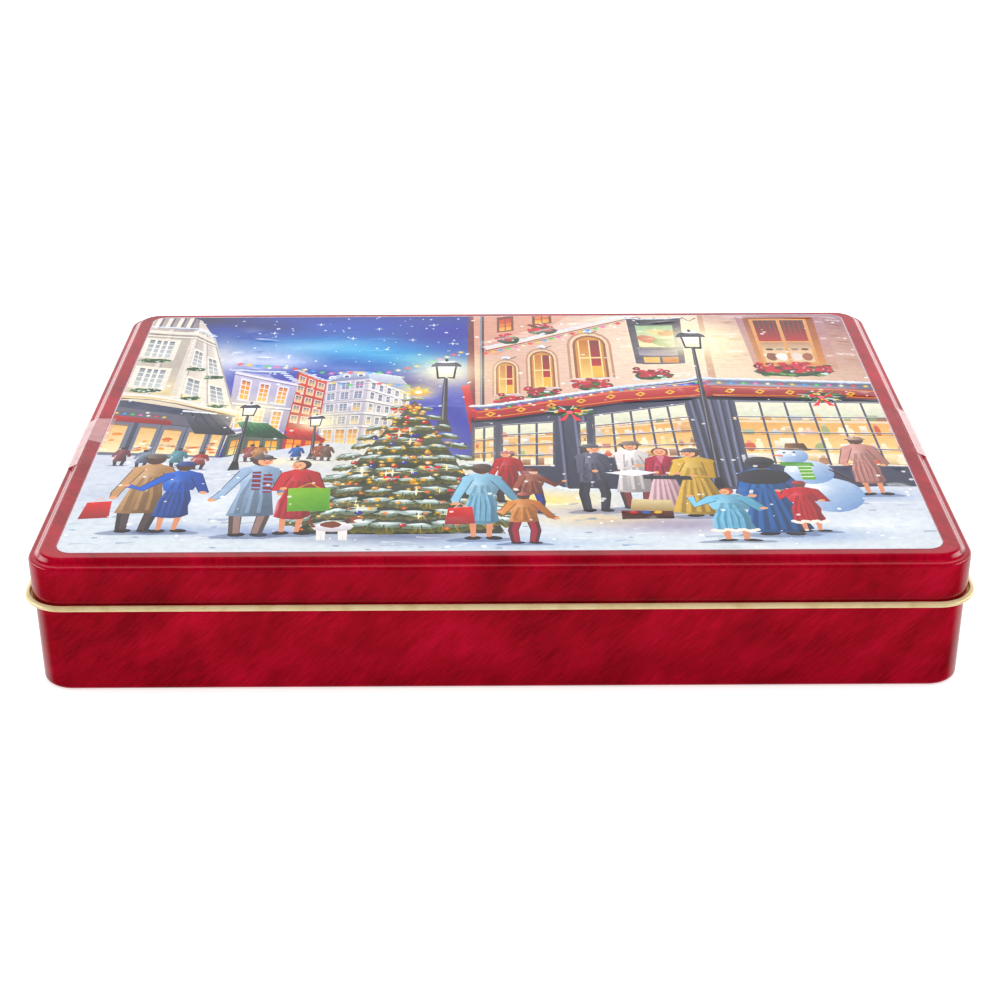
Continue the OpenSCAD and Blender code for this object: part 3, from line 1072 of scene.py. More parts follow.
            art.patch(big.quad(u, 0, u + 0.06, 1), "#e0b080")
        for v in (0.0, 0.46, 0.97):
            art.patch(big.quad(0, v, 1, v + 0.03), "#e0b080")
        self.leaves(114, 45, 29, 11.0, 60, "#cc2c46")

    def goods(self, wall: Wall, columns: int) -> None:
        """Stand toys, boxes and sweets on the shelves of a lit shop window."""
        art, dice = self.canvas, self.dice
        for low, tall in ((0.03, 0.17), (0.22, 0.2), (0.47, 0.18), (0.7, 0.1)):
            for i in range(columns):
                u = (i + 0.5 + dice.uniform(-0.3, 0.3)) / columns
                wide, high = dice.uniform(0.25, 0.62) / columns, tall * dice.uniform(0.4, 1.0)
                tone = dice.choice((
                    "#e8b478", "#fff4dc", "#d0705c", "#ead0a4", "#c8ccd0", "#a4b088", "#e8ccc0", "#b08468",
                    "#fbe2b0", "#f8ead2",
                ))
                foot, crown = wall.at(u, low), wall.at(u, low + high)
                if dice.random() < 0.45:
                    box = wall.quad(u - wide, low, u + wide, low + high)
                    art.patch(box, Wash(shade(tone, -0.15), shade(tone, 0.3), foot, crown))
                else:
                    across = wide * abs(wall.foot_right[0] - wall.foot_left[0]) * 0.9
                    up = (crown[1] - foot[1]) * 0.5
                    art.dab(dice, *wall.at(u, low + high * 0.4), across, up, tone, 0.15, 0.85, 8)
                    art.oval(*wall.at(u, low + high * 0.95), 0.9, 1.1, shade(tone, 0.4), 0.9, steps=7)
            art.line([wall.at(0.01, low), wall.at(0.99, low)], 0.4, "#b87844", 0.7)

    def grid(self, wall: Wall, bars: tuple[int, int], width: float, colour: str) -> None:
        """Glaze a shop window with slim bars and pale edges of snow."""
        for i in range(bars[0] + 1):
            u = i / bars[0]
            self.canvas.line([wall.at(u, 0), wall.at(u, 1)], width, colour)
        for i in range(bars[1] + 1):
            v = i / bars[1]
            self.canvas.line([wall.at(0, v), wall.at(1, v)], width, colour)
            snow = [(x, y + width * 0.6) for x, y in (wall.at(0, v), wall.at(1, v))]
            self.canvas.line(snow, width * 0.4, "#f2f4fa", 0.8)

    def shop(self) -> None:
        """Slate-grey shop front under a red fascia, plain but for thin gold lines."""
        art = self.canvas
        art.patch([(-10, -3), (0, -3), (46, 12), (78, 18), (76, -60), (22, -60), (0, -48), (-10, -45)],
                  Wash("#55566c", "#3d3f54", (0, 10), (0, -58)))
        art.patch([(76, 18), (143, 13), (143, -60), (74, -60)], Wash("#5c5e76", "#43455c", (0, 14), (0, -58)))
        for x, lean in ((22, 0.2), (27.5, 0.2), (30.5, 0.2), (71, 0.6), (74, 0.3), (78, 0), (81.5, -0.4),
                        (84.5, -0.6)):
            top = 12 + (x - 46) * 0.15 if x < 76 else 16
            art.line([(x, top), (x + lean * 3, -57)], 0.9, "#8d90a8", 0.75)
            art.line([(x + 1, top), (x + 1 + lean * 3, -57)], 0.7, "#2b2c3c", 0.8)
        panes = (
            (Wall(art, (-9, -40), (-1.5, -40), (-1.5, -7), (-9, -9)), (2, 3), 3),
            (Wall(art, (1, -40), (19, -40), (20, -3.5), (1, -6)), (3, 4), 7),
            (Wall(art, (28.5, -24), (31.5, -24), (32, -4), (29, -5)), (1, 2), 2),
            (Wall(art, (33.5, -34), (70, -34), (69, 12), (34.5, 2)), (5, 4), 11),
            (Wall(art, (86, -40), (143, -42), (143, 12), (87, 14)), (6, 4), 12),
        )
        for wall, bars, count in panes:
            wall.paint("#f4ead8", "#ead8ba")
            art.patch(wall.quad(0, 0.18, 1, 0.66),
                      Wash("#f6dcaa", "#eabf86", wall.at(0.5, 0.18), wall.at(0.5, 0.66)))
            art.patch(wall.quad(0, 0.74, 1, 1),
                      Wash("#dde0cc", "#f2eedd", wall.at(0.5, 0.74), wall.at(0.5, 1)))
            self.goods(wall, count)
            self.grid(wall, bars, 0.85, "#5a5b6c")
        art.patch([(-10, 0), (0, 0.5), (46, 14.5), (77, 18.5), (77, 16), (46, 12), (0, -3), (-10, -4)],
                  "#2d2e40")
        art.patch([(77, 19), (143, 15), (143, 12.5), (77, 16)], "#2d2e40")
        art.patch([(-9, -2), (0, -1), (46, 13.5), (78, 18.5), (79.5, 30), (46, 25), (0, 8.5), (-9, 6)],
                  Wash("#a01524", "#c9343c", (20, 0), (17, 14)))
        art.patch([(78, 18.5), (143, 15), (143, 24), (79.5, 29)],
                  Wash("#9a1422", "#c02c38", (0, 16), (0, 28)))
        for low, high in (
            ([(-8, 0), (0, 1), (46, 15.3), (77, 20)], [(-8, 4.5), (0, 6.8), (46, 23), (78, 28)]),
            ([(80, 20), (143, 16.6)], [(80, 27), (143, 22.5)]),
        ):
            art.line(low, 0.55, "#e8b450", 0.9)
            art.line(high, 0.55, "#e8b450", 0.9)
        for i in range(13):
            x = -3 + i * 11.2
            y = 4 + 0.34 * x if x < 46 else 19.5 + 0.15 * (x - 46) if x < 78 else 23.6 - 0.075 * (x - 80)
            art.patch([(x - 2, y - 0.5), (x, y - 2.2), (x + 2, y + 0.5), (x, y + 2.2)], "#f0c260")
            art.patch([(x - 0.9, y - 0.2), (x, y - 1), (x + 0.9, y + 0.2), (x, y + 1)], "#a01524")
        art.patch([(79, 29), (143, 24), (143, 30), (79, 35)], Wash("#6a6d84", "#8f93a8", (0, 26), (0, 34)))
        ledge = [(-9, 9), (0, 11), (46, 27), (79, 35)]
        art.line(ledge, 2.4, "#70738a")
        self.snow_ledge([(x, y + 1.2) for x, y in ledge], 1.9)
        self.snow_ledge([(79, 36), (110, 33.5), (143, 30.5)], 2.0)
        self.garland([(x, y - 2.0) for x, y in ledge], 4.2, 0.85)
        self.garland([(79, 33), (143, 28)], 4.6, 0.85)
        for x, y in ((26, 5), (120, 17)):
            self.wreath(x, y)
        self.snow_ledge([(0, -47), (12, -53), (24, -59), (76, -60), (143, -59)], 2.2)

    def wreath(self, x: float, y: float) -> None:
        """Fir spray with frosted tips, gold beads and a red bow."""
        art, dice = self.canvas, self.dice
        art.dab(dice, x, y + 0.6, 8.6, 4.4, "#1c3a2c", 0.2, 0.95, 14)
        for _ in range(36):
            angle, reach = dice.uniform(0, math.tau), dice.uniform(0.5, 1.05)
            end = (x + 9.6 * reach * math.cos(angle), y + 0.8 + 5.6 * reach * math.sin(angle))
            tone = dice.choice(("#2c5a3c", "#4a7a4c", "#1a3a2c", "#6f9a6c", "#d2e0e0"))
            art.line([(x + (end[0] - x) * 0.4, y + (end[1] - y) * 0.4), end], 1.1, tone, 0.95, 0.25)
        for _ in range(9):
            art.oval(x + dice.uniform(-7, 7), y + dice.uniform(-2.5, 3.5), 0.8, 0.7, "#f4d070", steps=6)
        for side in (-1, 1):
            art.patch([(x, y), (x + side * 3.8, y + 3.0), (x + side * 4.4, y - 0.2)],
                      Wash("#f26a74", "#c82438", (x, y + 3), (x, y)))
            art.patch([(x, y), (x + side * 4.4, y - 7.5), (x + side * 1.8, y - 7.0)], "#ee5a66")
        art.oval(x, y, 1.3, 1.2, "#ff9aa0", steps=8)

    def ground(self) -> None:
        """Trodden snow with lamplight and blue shadows."""
        art = self.canvas
        art.patch([(-143, -29), (-97, -32), (-60, -20), (0, -38), (22, -59), (76, -60), (143, -57),
                   (143, -103), (-143, -103)],
                  Wash("#d8dce6", "#dfe5e9", (0, -34), (0, -100)))
        for glow in (
            (14, -66, 34, 11, "#ffe69a", 1.0), (34, -80, 40, 8, "#f2dcae", 0.9),
            (-75, -36, 26, 6, "#fff0cc", 0.8), (58, -84, 46, 9, "#a294ac", 0.8),
            (30, -74, 24, 5, "#b49a9c", 0.6), (100, -92, 34, 7, "#8fa6d4", 0.6),
            (-108, -86, 24, 6, "#93a5cc", 0.75),
            (-78, -88, 26, 7, "#7f8fc0", 0.7), (-32, -91, 48, 8, "#7f86a4", 0.95),
            (128, -64, 20, 6, "#a4b6dc", 0.7),
            (-118, -60, 36, 9, "#b6bed2", 0.7), (-96, -66, 26, 12, "#f2f6fc", 0.7),
            (0, -96, 60, 6, "#a9c0e0", 0.6),
            (125, -84, 26, 8, "#f4f8fd", 0.8), (90, -66, 30, 6, "#b5a2ac", 0.5),
        ):
            art.glow(*glow)
        for _ in range(120):
            x, y = self.at_random(-142, 142), self.at_random(-100, -38)
            if y > -61 and -2 < x:
                continue
            reach = self.at_random(4, 15)
            tone = self.dice.choice(("#ffffff", "#a9b6cc", "#c7d2e2", "#8f9dba"))
            art.line([(x, y), (x + reach / 2, y + self.at_random(-0.9, 0.9)),
                      (x + reach, y + self.at_random(-1, 1))],
                     self.at_random(0.5, 1.5), tone, 0.4, 0.2)
        for _ in range(40):
            x, y = self.at_random(-142, 142), self.at_random(-100, -66)
            art.dab(self.dice, x, y, self.at_random(0.8, 1.8), 0.5, "#93a0bc", 0.3, 0.6, steps=7)

    def street_lamp(self, x: float, foot: float, top: float, size: float, lean: float = 0.0) -> None:
        """Iron lamp post with a lit glass lantern."""
        art = self.canvas
        head = x + lean
        art.glow(head, top + size * 0.6, size * 3.0, size * 3.0, "#fff4cc", 1.0)
        art.glow(head, top + size * 0.6, size * 1.5, size * 1.7, "#fffdec", 0.9)
        wide = size * 0.15
        art.patch([(x - wide, foot), (x + wide, foot), (head + wide * 0.5, top), (head - wide * 0.5, top)],
                  "#2e2c38")
        art.patch([(x - wide * 0.5, foot), (x - wide * 0.1, foot), (head - wide * 0.1, top),
                   (head - wide * 0.3, top)], "#8a8896")
        art.patch([(x - wide * 2.2, foot - size * 0.2), (x + wide * 2.2, foot - size * 0.2),
                   (x + wide * 1.1, foot + size * 0.8),
                   (x - wide * 1.1, foot + size * 0.8)], "#2a2834")
        art.patch([(head - size * 0.3, top), (head + size * 0.3, top), (head + size * 0.38, top + size * 1.2),
                   (head - size * 0.38, top + size * 1.2)],
                   Wash("#fff6d4", "#ffffff", (0, top), (0, top + size)))
        for side in (-0.38, 0.38):
            art.line([(head + side * size * 0.8, top), (head + side * size, top + size * 1.2)], size * 0.08,
                     "#3a3844")
        art.line([(head - size * 0.34, top), (head + size * 0.34, top)], size * 0.16, "#3a3844")
        arc = np.linspace(0, math.pi, 9)
        dome = [(head + size * 0.6 * math.cos(a), top + size * (1.1 + 0.6 * math.sin(a))) for a in arc]
        art.patch(dome, Wash("#55535f", "#2c2a36", (head - size * 0.5, 0), (head + size * 0.5, 0)))
        art.dab(self.dice, head, top + size * 1.62, size * 0.36, size * 0.12, "#f0f4fb", 0.15)
        art.oval(head, top + size * 1.8, size * 0.08, size * 0.16, "#34323e", steps=6)

    def bough(self, x: float, y: float, size: float, lean: float) -> None:
        """One bough of the fir: dark needles, gilded tips and a cap of snow."""
        art, dice = self.canvas, self.dice
        turn = -0.32 * lean
        tips = []
        for i in range(9):
            share = i / 4 - 1
            drop = size * (0.85 - 0.45 * share * share) * (1.0 if i % 2 else 0.72)
            drop += dice.uniform(0, 0.12) * size
            tips.append((x + share * size * 1.15, y - drop + share * turn * size))
        art.patch(tips + [(x + size * 0.8, y + size * 0.35), (x, y + size * 0.6),
                          (x - size * 0.8, y + size * 0.35)],
                  Wash("#8c7e3c", "#343e24", (x, y - size * 0.95), (x, y + size * 0.1)))
        for _ in range(4):
            share = dice.uniform(-1, 1)
            end = (x + share * size * 1.15 + lean, y - size * dice.uniform(0.5, 0.85))
            art.line([(x + share * size * 0.7, y), end], size * 0.12,
                     dice.choice(("#9c9044", "#7c8040", "#b8a458", "#56602e", "#343e22")), 0.9, 0.3)
        art.dab(dice, x + lean * 0.6, y + size * 0.04, size * 0.98, size * 0.3, "#8c9c94", 0.35, 0.75, 8,
                turn)
        art.dab(dice, x + lean * 0.4, y + size * 0.2, size * 0.84, size * 0.27, "#bccac8", 0.4, 0.9, 9, turn)
        art.dab(dice, x, y + size * 0.3, size * 0.5, size * 0.15, "#e8eeec", 0.35, 0.9, 6, turn)
        for _ in range(3):
            u = dice.uniform(-0.9, 0.9)
            art.line([(x + u * size, y + size * 0.15), (x + u * size * 1.1 + lean, y - size * 0.3)],
                     size * 0.1,
                     dice.choice(("#3c5228", "#6c7a34", "#8a8838")), 0.9, 0.3)

    def fir(self) -> None:
        """Tall fir with snow on its boughs, baubles, bows and lights."""
        art, dice = self.canvas, self.dice
        foot, top = -88.0, 19.0
        art.glow(-32, -34, 52, 70, "#fff0b0", 0.4)
        art.patch([(-66, -90), (2, -90), (-20, -20), (-31, 16), (-44, -20)],
                  Wash("#2c3220", "#565a30", (0, -90), (0, 10)))
        rows = 13
        for row in range(rows):
            part = row / (rows - 1)
            level = foot + 7 + (top - foot - 9) * part
            reach = 1.6 + 31.5 * (1 - part) ** 0.84
            size = 2.1 + 3.7 * (1 - part)
            count = max(1, round(2 * reach / (size * 1.7)))
            for i in sorted(range(count + 1), key=lambda i: -abs(i / count - 0.5)):
                share = 2 * i / count - 1
                self.bough(-32 + share * reach + dice.uniform(-0.8, 0.8),
                           level - (1 - abs(share)) * size * 0.8
                           + dice.uniform(-1, 1), size * dice.uniform(0.85, 1.15), share)
        for _ in range(185):
            part = dice.uniform(0, 0.96)
            reach = 1.2 + 31 * (1 - part) ** 0.86
            x, y = -32 + dice.uniform(-1, 1) * reach, foot + 1 + (top - foot - 4) * part
            kind = dice.random()
            if kind < 0.66:
                size = dice.uniform(0.45, 0.8)
                tone = dice.choice(("#ffb83c", "#ffd87a", "#ff8a3a", "#ffe6b0", "#ffc850"))
                art.oval(x, y, size * 2, size * 2, tone, 0.3, steps=6)
                art.oval(x, y, size, size, tone, steps=5)
            elif kind < 0.95:
                size = dice.uniform(1.0, 1.8)
                tone = dice.choice(("#e0a030", "#c8323e", "#5a58a8", "#e0b048", "#d8a040", "#cf9a3a"))
                art.oval(x, y, size, size, shade(tone, -0.35), steps=8)
                art.oval(x - size * 0.1, y + size * 0.12, size * 0.78, size * 0.78, tone, steps=7)
                art.oval(x - size * 0.35, y + size * 0.4, size * 0.28, size * 0.28, "#fff4e0", steps=4)
            else:
                for side in (-1, 1):
                    art.patch([(x, y), (x + side * 2.6, y + 1.7), (x + side * 2.7, y - 0.8)], "#e03446")
                    art.patch([(x, y), (x + side * 2.0, y - 3.4), (x + side * 0.8, y - 3.2)], "#c02434")
        for _ in range(18):
            part = dice.uniform(0.05, 0.85)
            art.spark(-32 + dice.uniform(-1, 1) * 28 * (1 - part), foot + 104 * part, dice.uniform(1.8, 3.6),
                      "#fffbe0")
        star = [(-30 + r * math.cos(a), 24 + r * math.sin(a)) for a, r in
                zip(np.linspace(math.pi / 2, math.pi / 2 + math.tau, 16, endpoint=False), [6.2, 2.2] * 8)]
        art.glow(-30, 24, 10, 10, "#fff0a0", 1.0)
        art.patch(star, Wash("#ffe680", "#e8a830", (-30, 29), (-30, 19)))
        art.oval(-30, 24, 1.6, 1.6, "#fffbe0", steps=8)

    def person(self, who: Person) -> None:
        """Paint a figure: shoes, legs, coat or gown with folds, arms, head and hat."""
        art = self.canvas
        x, foot, tall, half = who.x, who.foot, who.tall, who.wide / 2

        def at(u: float, v: float) -> Point:
            """Place on the figure: u in half widths, v in heights."""
            return x + u * half, foot + v * tall

        art.oval(x, foot, half * 1.2, tall * 0.03, "#66708c", 0.45, steps=12)
        dark, pale = shade(who.top, -0.38), shade(who.top, 0.22)
        low_dark, low_pale = shade(who.lower, -0.4), shade(who.lower, 0.22)
        lift = {Dress.SKIRT: 0.16, Dress.GOWN: 0.0}.get(who.dress)
        for side in (-1, 1):
            art.oval(*at(side * 0.36 + 0.08, 0.018), half * 0.3, tall * 0.024, "#2a1e22", steps=9)
            if who.dress is Dress.SKIRT:
                art.line([at(side * 0.3, 0.24), at(side * 0.26, 0.03)], half * 0.26, "#e0a88c", 1.0, 0.6)
            elif who.dress is not Dress.GOWN:
                knee = 0.06 * side
                art.line([at(side * 0.3, 0.48), at(side * 0.4 + knee, 0.25), at(side * 0.36, 0.03)],
                         half * 0.52,
                         low_dark, 1.0, 0.7)
                art.line([at(side * 0.26, 0.48), at(side * 0.34 + knee, 0.25), at(side * 0.3, 0.03)],
                         half * 0.28,
                         who.lower, 1.0, 0.7)
        if lift is not None:
            wide = 1.0 if who.dress is Dress.GOWN else 0.62
            foot_v = lift + 0.035
            gown = [at(-0.36, 0.62), at(-0.56, 0.45), at(-wide * 0.86, foot_v + 0.16),
                    at(-wide, foot_v + 0.03),
                    at(-wide * 0.5, foot_v), at(wide * 0.1, foot_v - 0.01), at(wide * 0.6, foot_v),
                    at(wide, foot_v + 0.04),
                    at(wide * 0.84, foot_v + 0.16), at(0.56, 0.45), at(0.36, 0.62)]
            art.patch(gown, Wash(low_pale, low_dark, at(-0.8, 0.3), at(1.0, 0.2)))
            for u in (-0.7, -0.35, 0.0, 0.3, 0.62):
                art.line([at(u * 0.35, 0.6), at(u * 0.62, 0.42), at(u * wide * 0.98, foot_v + 0.02)],
                         half * 0.1,
                         low_dark, 0.45, 1.8)
                art.line([at(u * 0.35 - 0.1, 0.58), at(u * 0.62 - 0.12, 0.42),
                          at(u * wide * 0.98 - 0.14, foot_v + 0.03)],
                         half * 0.09, low_pale, 0.55, 1.8)
        hem, flare = {Dress.COAT: (0.24, 0.78), Dress.TROUSERS: (0.42, 0.6)}.get(who.dress, (0.57, 0.42))
        coat = [at(-0.2, 0.87), at(-0.5, 0.84), at(-0.68, 0.77), at(-0.62, 0.66), at(-0.52, 0.58),
                at(-flare, hem),
                at(-flare * 0.4, hem - 0.015), at(flare * 0.5, hem - 0.01), at(flare, hem + 0.01),
                at(0.52, 0.58),
                at(0.62, 0.66), at(0.68, 0.77), at(0.5, 0.84), at(0.2, 0.87)]
        art.patch(coat, Wash(pale, dark, at(-0.7, 0.6), at(0.85, 0.5)))
        art.glow(*at(-0.25, 0.72), half * 0.45, tall * 0.12, shade(who.top, 0.5), 0.6)
        for u, v in ((-0.4, 0.5), (0.05, 0.55), (0.4, 0.45)) if tall > 20 else ():
            art.line([at(u * 0.5, 0.7), at(u, v), at(u * 1.4 * flare, hem + 0.02)], half * 0.12, dark, 0.4,
                     1.7)
            art.line([at(u * 0.5 - 0.12, 0.66), at(u - 0.14, v), at(u * 1.4 * flare - 0.16, hem + 0.03)],
                     half * 0.08,
                     pale, 0.45, 1.7)
        if who.facing == 2:
            art.line([at(0, 0.85), at(0.02, hem)], half * 0.06, dark, 0.8)
            art.patch([at(-0.2, 0.86), at(0.2, 0.86), at(0, 0.73)], shade(who.top, 0.5))
        hands = who.reach or ((-0.82, 0.46), (0.82, 0.46))
        for side, hand in zip((-1, 1), hands):
            elbow = (side * 0.95 * 0.6 + hand[0] * 0.4, 0.55 * 0.6 + hand[1] * 0.4)
            way = [at(side * 0.5, 0.79), at(*elbow), at(*hand)]
            tone = Wash(shade(who.top, 0.18), shade(who.top, -0.22), at(-0.9, 0.7), at(1.1, 0.6))
            art.oval(*way[0], half * 0.25, tall * 0.05, tone, steps=10)
            art.line(way, half * 0.46, shade(who.top, -0.42), 0.9, 0.62)
            art.oval(*way[0], half * 0.2, tall * 0.046, tone, steps=10)
            art.line(way, half * 0.36, tone, 1.0, 0.62)
            art.oval(*at(*hand), half * 0.14, tall * 0.022, "#e9b795", steps=8)
        skin = "#eebd9c"
        head, size = at(0, 0.93), tall * 0.062
        art.oval(head[0], head[1] - size * 0.8, size * 0.42, size * 0.5, shade(skin, -0.2), steps=8)
        art.oval(*head, size * 0.98, size * 1.12, who.hair, steps=14)
        if who.facing:
            turn = {-1: -0.3, 1: 0.3, 2: 0.0}[who.facing] * size
            art.oval(head[0] + turn, head[1] - size * 0.18, size * 0.72, size * 0.9, skin, steps=14)
            art.oval(head[0] + turn * 1.5, head[1] - size * 0.45, size * 0.4, size * 0.25, "#e08e7c", 0.5,
                     steps=8)
            for side in (-1, 1):
                eye = head[0] + turn * 1.5 + side * size * 0.3, head[1] - size * 0.05
                art.oval(*eye, size * 0.11, size * 0.1, "#4a3028", steps=6)
            mouth = head[0] + turn * 1.6, head[1] - size * 0.62
            art.line([(mouth[0] - size * 0.16, mouth[1]), (mouth[0] + size * 0.16, mouth[1])], size * 0.12,
                     "#b4504a", 0.8)
        if who.hat:
            tone = Wash(shade(who.hat, 0.25), shade(who.hat, -0.3), (head[0] - size, 0), (head[0] + size, 0))
            art.oval(head[0], head[1] + size * 0.42, size * 1.35, size * 0.34, shade(who.hat, -0.3), steps=12)
            art.oval(head[0], head[1] + size * 0.72, size * 0.98, size * 0.62, tone, steps=12)

    def far_people(self) -> None:
        """Small figures in front of the far shops."""
        for x, foot, tall, tone in (
            (-112, -40, 16, "#5f9aa8"), (-104, -42, 15, "#b03a34"), (-132, -38, 15, "#8a4a52"),
            (-124, -40, 15, "#6f7f9a"),
            (-87, -36, 15, "#a4504a"), (-84, -36, 14, "#c98a4a"), (-71, -35, 13, "#2f66b8"),
            (-63, -35, 14, "#a04a38"),
            (-60.5, -35, 13, "#6a4a48"),
        ):
            self.person(Person(x, foot, tall, tall * 0.42, Dress.COAT, tone, "#4a3a44", hair="#4a342c"))

    def people(self) -> None:
        """Passers-by in front, couples, carol singers and children."""
        art = self.canvas
        crowd = (
            Person(-119, -88, 58, 20, Dress.COAT, "#c89c70", "#5a4a4e", "#6a5648",
                   reach=((-1.0, 0.44), (1.5, 0.66))),
            Person(-108, -88, 52, 19, Dress.SKIRT, "#2f66c8", "#2450a4", "#2c4c9c",
                   reach=((-1.9, 0.66), (0.9, 0.55))),
            Person(-82, -91, 60, 20, Dress.COAT, "#a4bcd8", "#a08884", "#5c4a4c", facing=1,
                   reach=((-1.4, 0.44), (0.9, 0.5))),
            Person(-68, -90, 55, 19, Dress.SKIRT, "#cc2430", "#c02030", hair="#3c2420", facing=-1,
                   reach=((-0.5, 0.6), (0.95, 0.45))),
            Person(3, -68, 40, 13, Dress.COAT, "#c03034", "#4a3038", "#c03034", facing=-1),
            Person(11, -76, 34, 13, Dress.TROUSERS, "#9c5440", "#3448a0", "#8a3c34", facing=1,
                   reach=((-0.8, 0.5), (1.7, 0.72))),
            Person(-6, -94, 55, 19, Dress.SKIRT, "#9ccce4", "#86bcd8", "#5a3c34",
                   reach=((-0.9, 0.46), (1.5, 0.48))),
            Person(8, -97, 36, 16, Dress.TROUSERS, "#e0985c", "#a8304c", "#c8746c",
                   reach=((-1.0, 0.62), (1.35, 0.5))),
            Person(32, -75, 52, 16, Dress.TROUSERS, "#55536c", "#3c3a4c", "#3a3844", facing=1,
                   reach=((0.1, 0.58), (1.0, 0.56))),
            Person(46, -73, 52, 17, Dress.COAT, "#f4ecea", "#8a4a48", "#8a7468", facing=2,
                   reach=((0.2, 0.62), (0.5, 0.62))),
            Person(56, -76, 50, 15, Dress.GOWN, "#b02848", "#ecc4cc", hair="#8a4a2c", facing=2,
                   reach=((-0.3, 0.6), (0.4, 0.58))),
            Person(67, -79, 52, 20, Dress.GOWN, "#e4bc5c", "#dcb454", "#4a3a3c", facing=-1,
                   reach=((-0.6, 0.62), (-0.1, 0.58))),
            Person(126, -64, 46, 17, Dress.SKIRT, "#d8a097", "#cc8e86", "#c8a08c",
                   reach=((-0.7, 0.52), (0.72, 0.5))),
        )
        for who in crowd:
            self.person(who)
        for x, y in ((-83, -44), (-79, -46)):
            art.line([(x, y), (x + 1, y - 14)], 3.0, "#8c2f3c")
            for i in range(4):
                art.line([(x - 1.5, y - 2 - 3.4 * i), (x + 2.2, y - 2.2 - 3.4 * i)], 1.0, "#9fb4d8")
        art.patch([(-71, -57), (-57, -56), (-56, -73), (-70, -74)],
                  Wash("#9cc84a", "#5c9a2a", (-70, -56), (-57, -74)))
        art.line([(-68, -57), (-64, -53), (-60, -57)], 0.5, "#d8b060")
        for x, y in ((-13, -72), (-133, -66)):
            art.patch([(x - 4, y), (x + 4, y + 1), (x + 5, y - 11), (x - 5, y - 12)],
                      Wash("#e04a48", "#a01c28", (x, y), (x, y - 12)))
            art.line([(x - 2, y), (x, y + 3.5), (x + 2.5, y + 0.6)], 0.5, "#f0c0b0")
        art.patch([(49, -48), (65, -49), (65.5, -52), (49, -51)], "#2e2a3a")
        art.patch([(36, -46), (46, -44), (54, -46), (46, -49)], "#f6f6fa")
        art.patch([(44, -66), (57, -67), (57.5, -75), (43, -74)],
                  Wash("#e6d8b4", "#b09870", (0, -66), (0, -75)))
        art.patch([(40, -74), (57, -75), (57, -80), (40, -80)],
                  Wash("#7a4030", "#40201c", (0, -74), (0, -80)))
        for x, tone in ((44, "#d04a4a"), (48, "#4a7ac0"), (52, "#e8c050")):
            art.oval(x, -75.5, 1.4, 1.0, tone, steps=7)
        self.dog(-54, -94)
        self.snowman()
        for who in (
            Person(90, -92, 56, 23, Dress.GOWN, "#2f6cb0", "#2460a4", "#26222c", hair="#26222c",
                   reach=((-0.5, 0.5), (1.1, 0.56))),
            Person(76, -96, 38, 22, Dress.SKIRT, "#90d0ec", "#84c8e8", hair="#b8603c", facing=-1,
                   reach=((-1.15, 0.84), (1.0, 0.6))),
            Person(101, -90, 37, 17, Dress.SKIRT, "#d43440", "#cc2c38", "#b83038", hair="#7a4028",
                   reach=((-0.9, 0.8), (0.7, 0.6))),
        ):
            self.person(who)
        art.dab(self.dice, 90, -50, 9.5, 6.0, Wash("#4a4450", "#1c1a22", (83, -46), (96, -54)), 0.06,
                steps=16)
        art.oval(90, -38, 5.2, 4.2, Wash("#4c4854", "#1c1a22", (86, -35), (94, -41)), steps=16)
        for x, y, wide in ((76, -88.6, 7.0), (101, -83.0, 5.4)):
            for i in range(11):
                art.oval(x - wide + 2 * wide * i / 10, y + 0.5 * math.cos(i * 1.9), 1.1, 1.0, "#fbf0e6",
                         steps=7)

    def dog(self, x: float, foot: float) -> None:
        """Small brown and white dog."""
        art = self.canvas
        for u in (-4.5, -3, 2.5, 4):
            art.line([(x + u, foot + 7), (x + u + 0.4, foot)], 1.6, "#f2ece8", tip=0.8)
        art.dab(self.dice, x, foot + 9, 6.5, 3.6, Wash("#ffffff", "#c9c2c8", (0, foot + 13), (0, foot + 5)),
                0.08, steps=12)
        art.dab(self.dice, x - 1, foot + 10.6, 3.4, 2.2, "#8a4a2c", 0.2)
        art.line([(x - 6, foot + 9), (x - 8, foot + 13), (x - 7.6, foot + 16)], 1.2, "#8a4a2c", tip=0.5)
        art.dab(self.dice, x + 6.3, foot + 14, 3.0, 2.7, "#9a5632", 0.1)
        art.oval(x + 8.2, foot + 13.2, 1.8, 1.2, "#f6efe9", steps=8)
        art.oval(x + 9.6, foot + 13.6, 0.5, 0.5, "#1f1a1e", steps=6)
        art.oval(x + 6.9, foot + 14.8, 0.4, 0.4, "#1f1a1e", steps=6)
        art.oval(x + 4.6, foot + 13.4, 1.1, 2.3, "#5a2f20", steps=8)

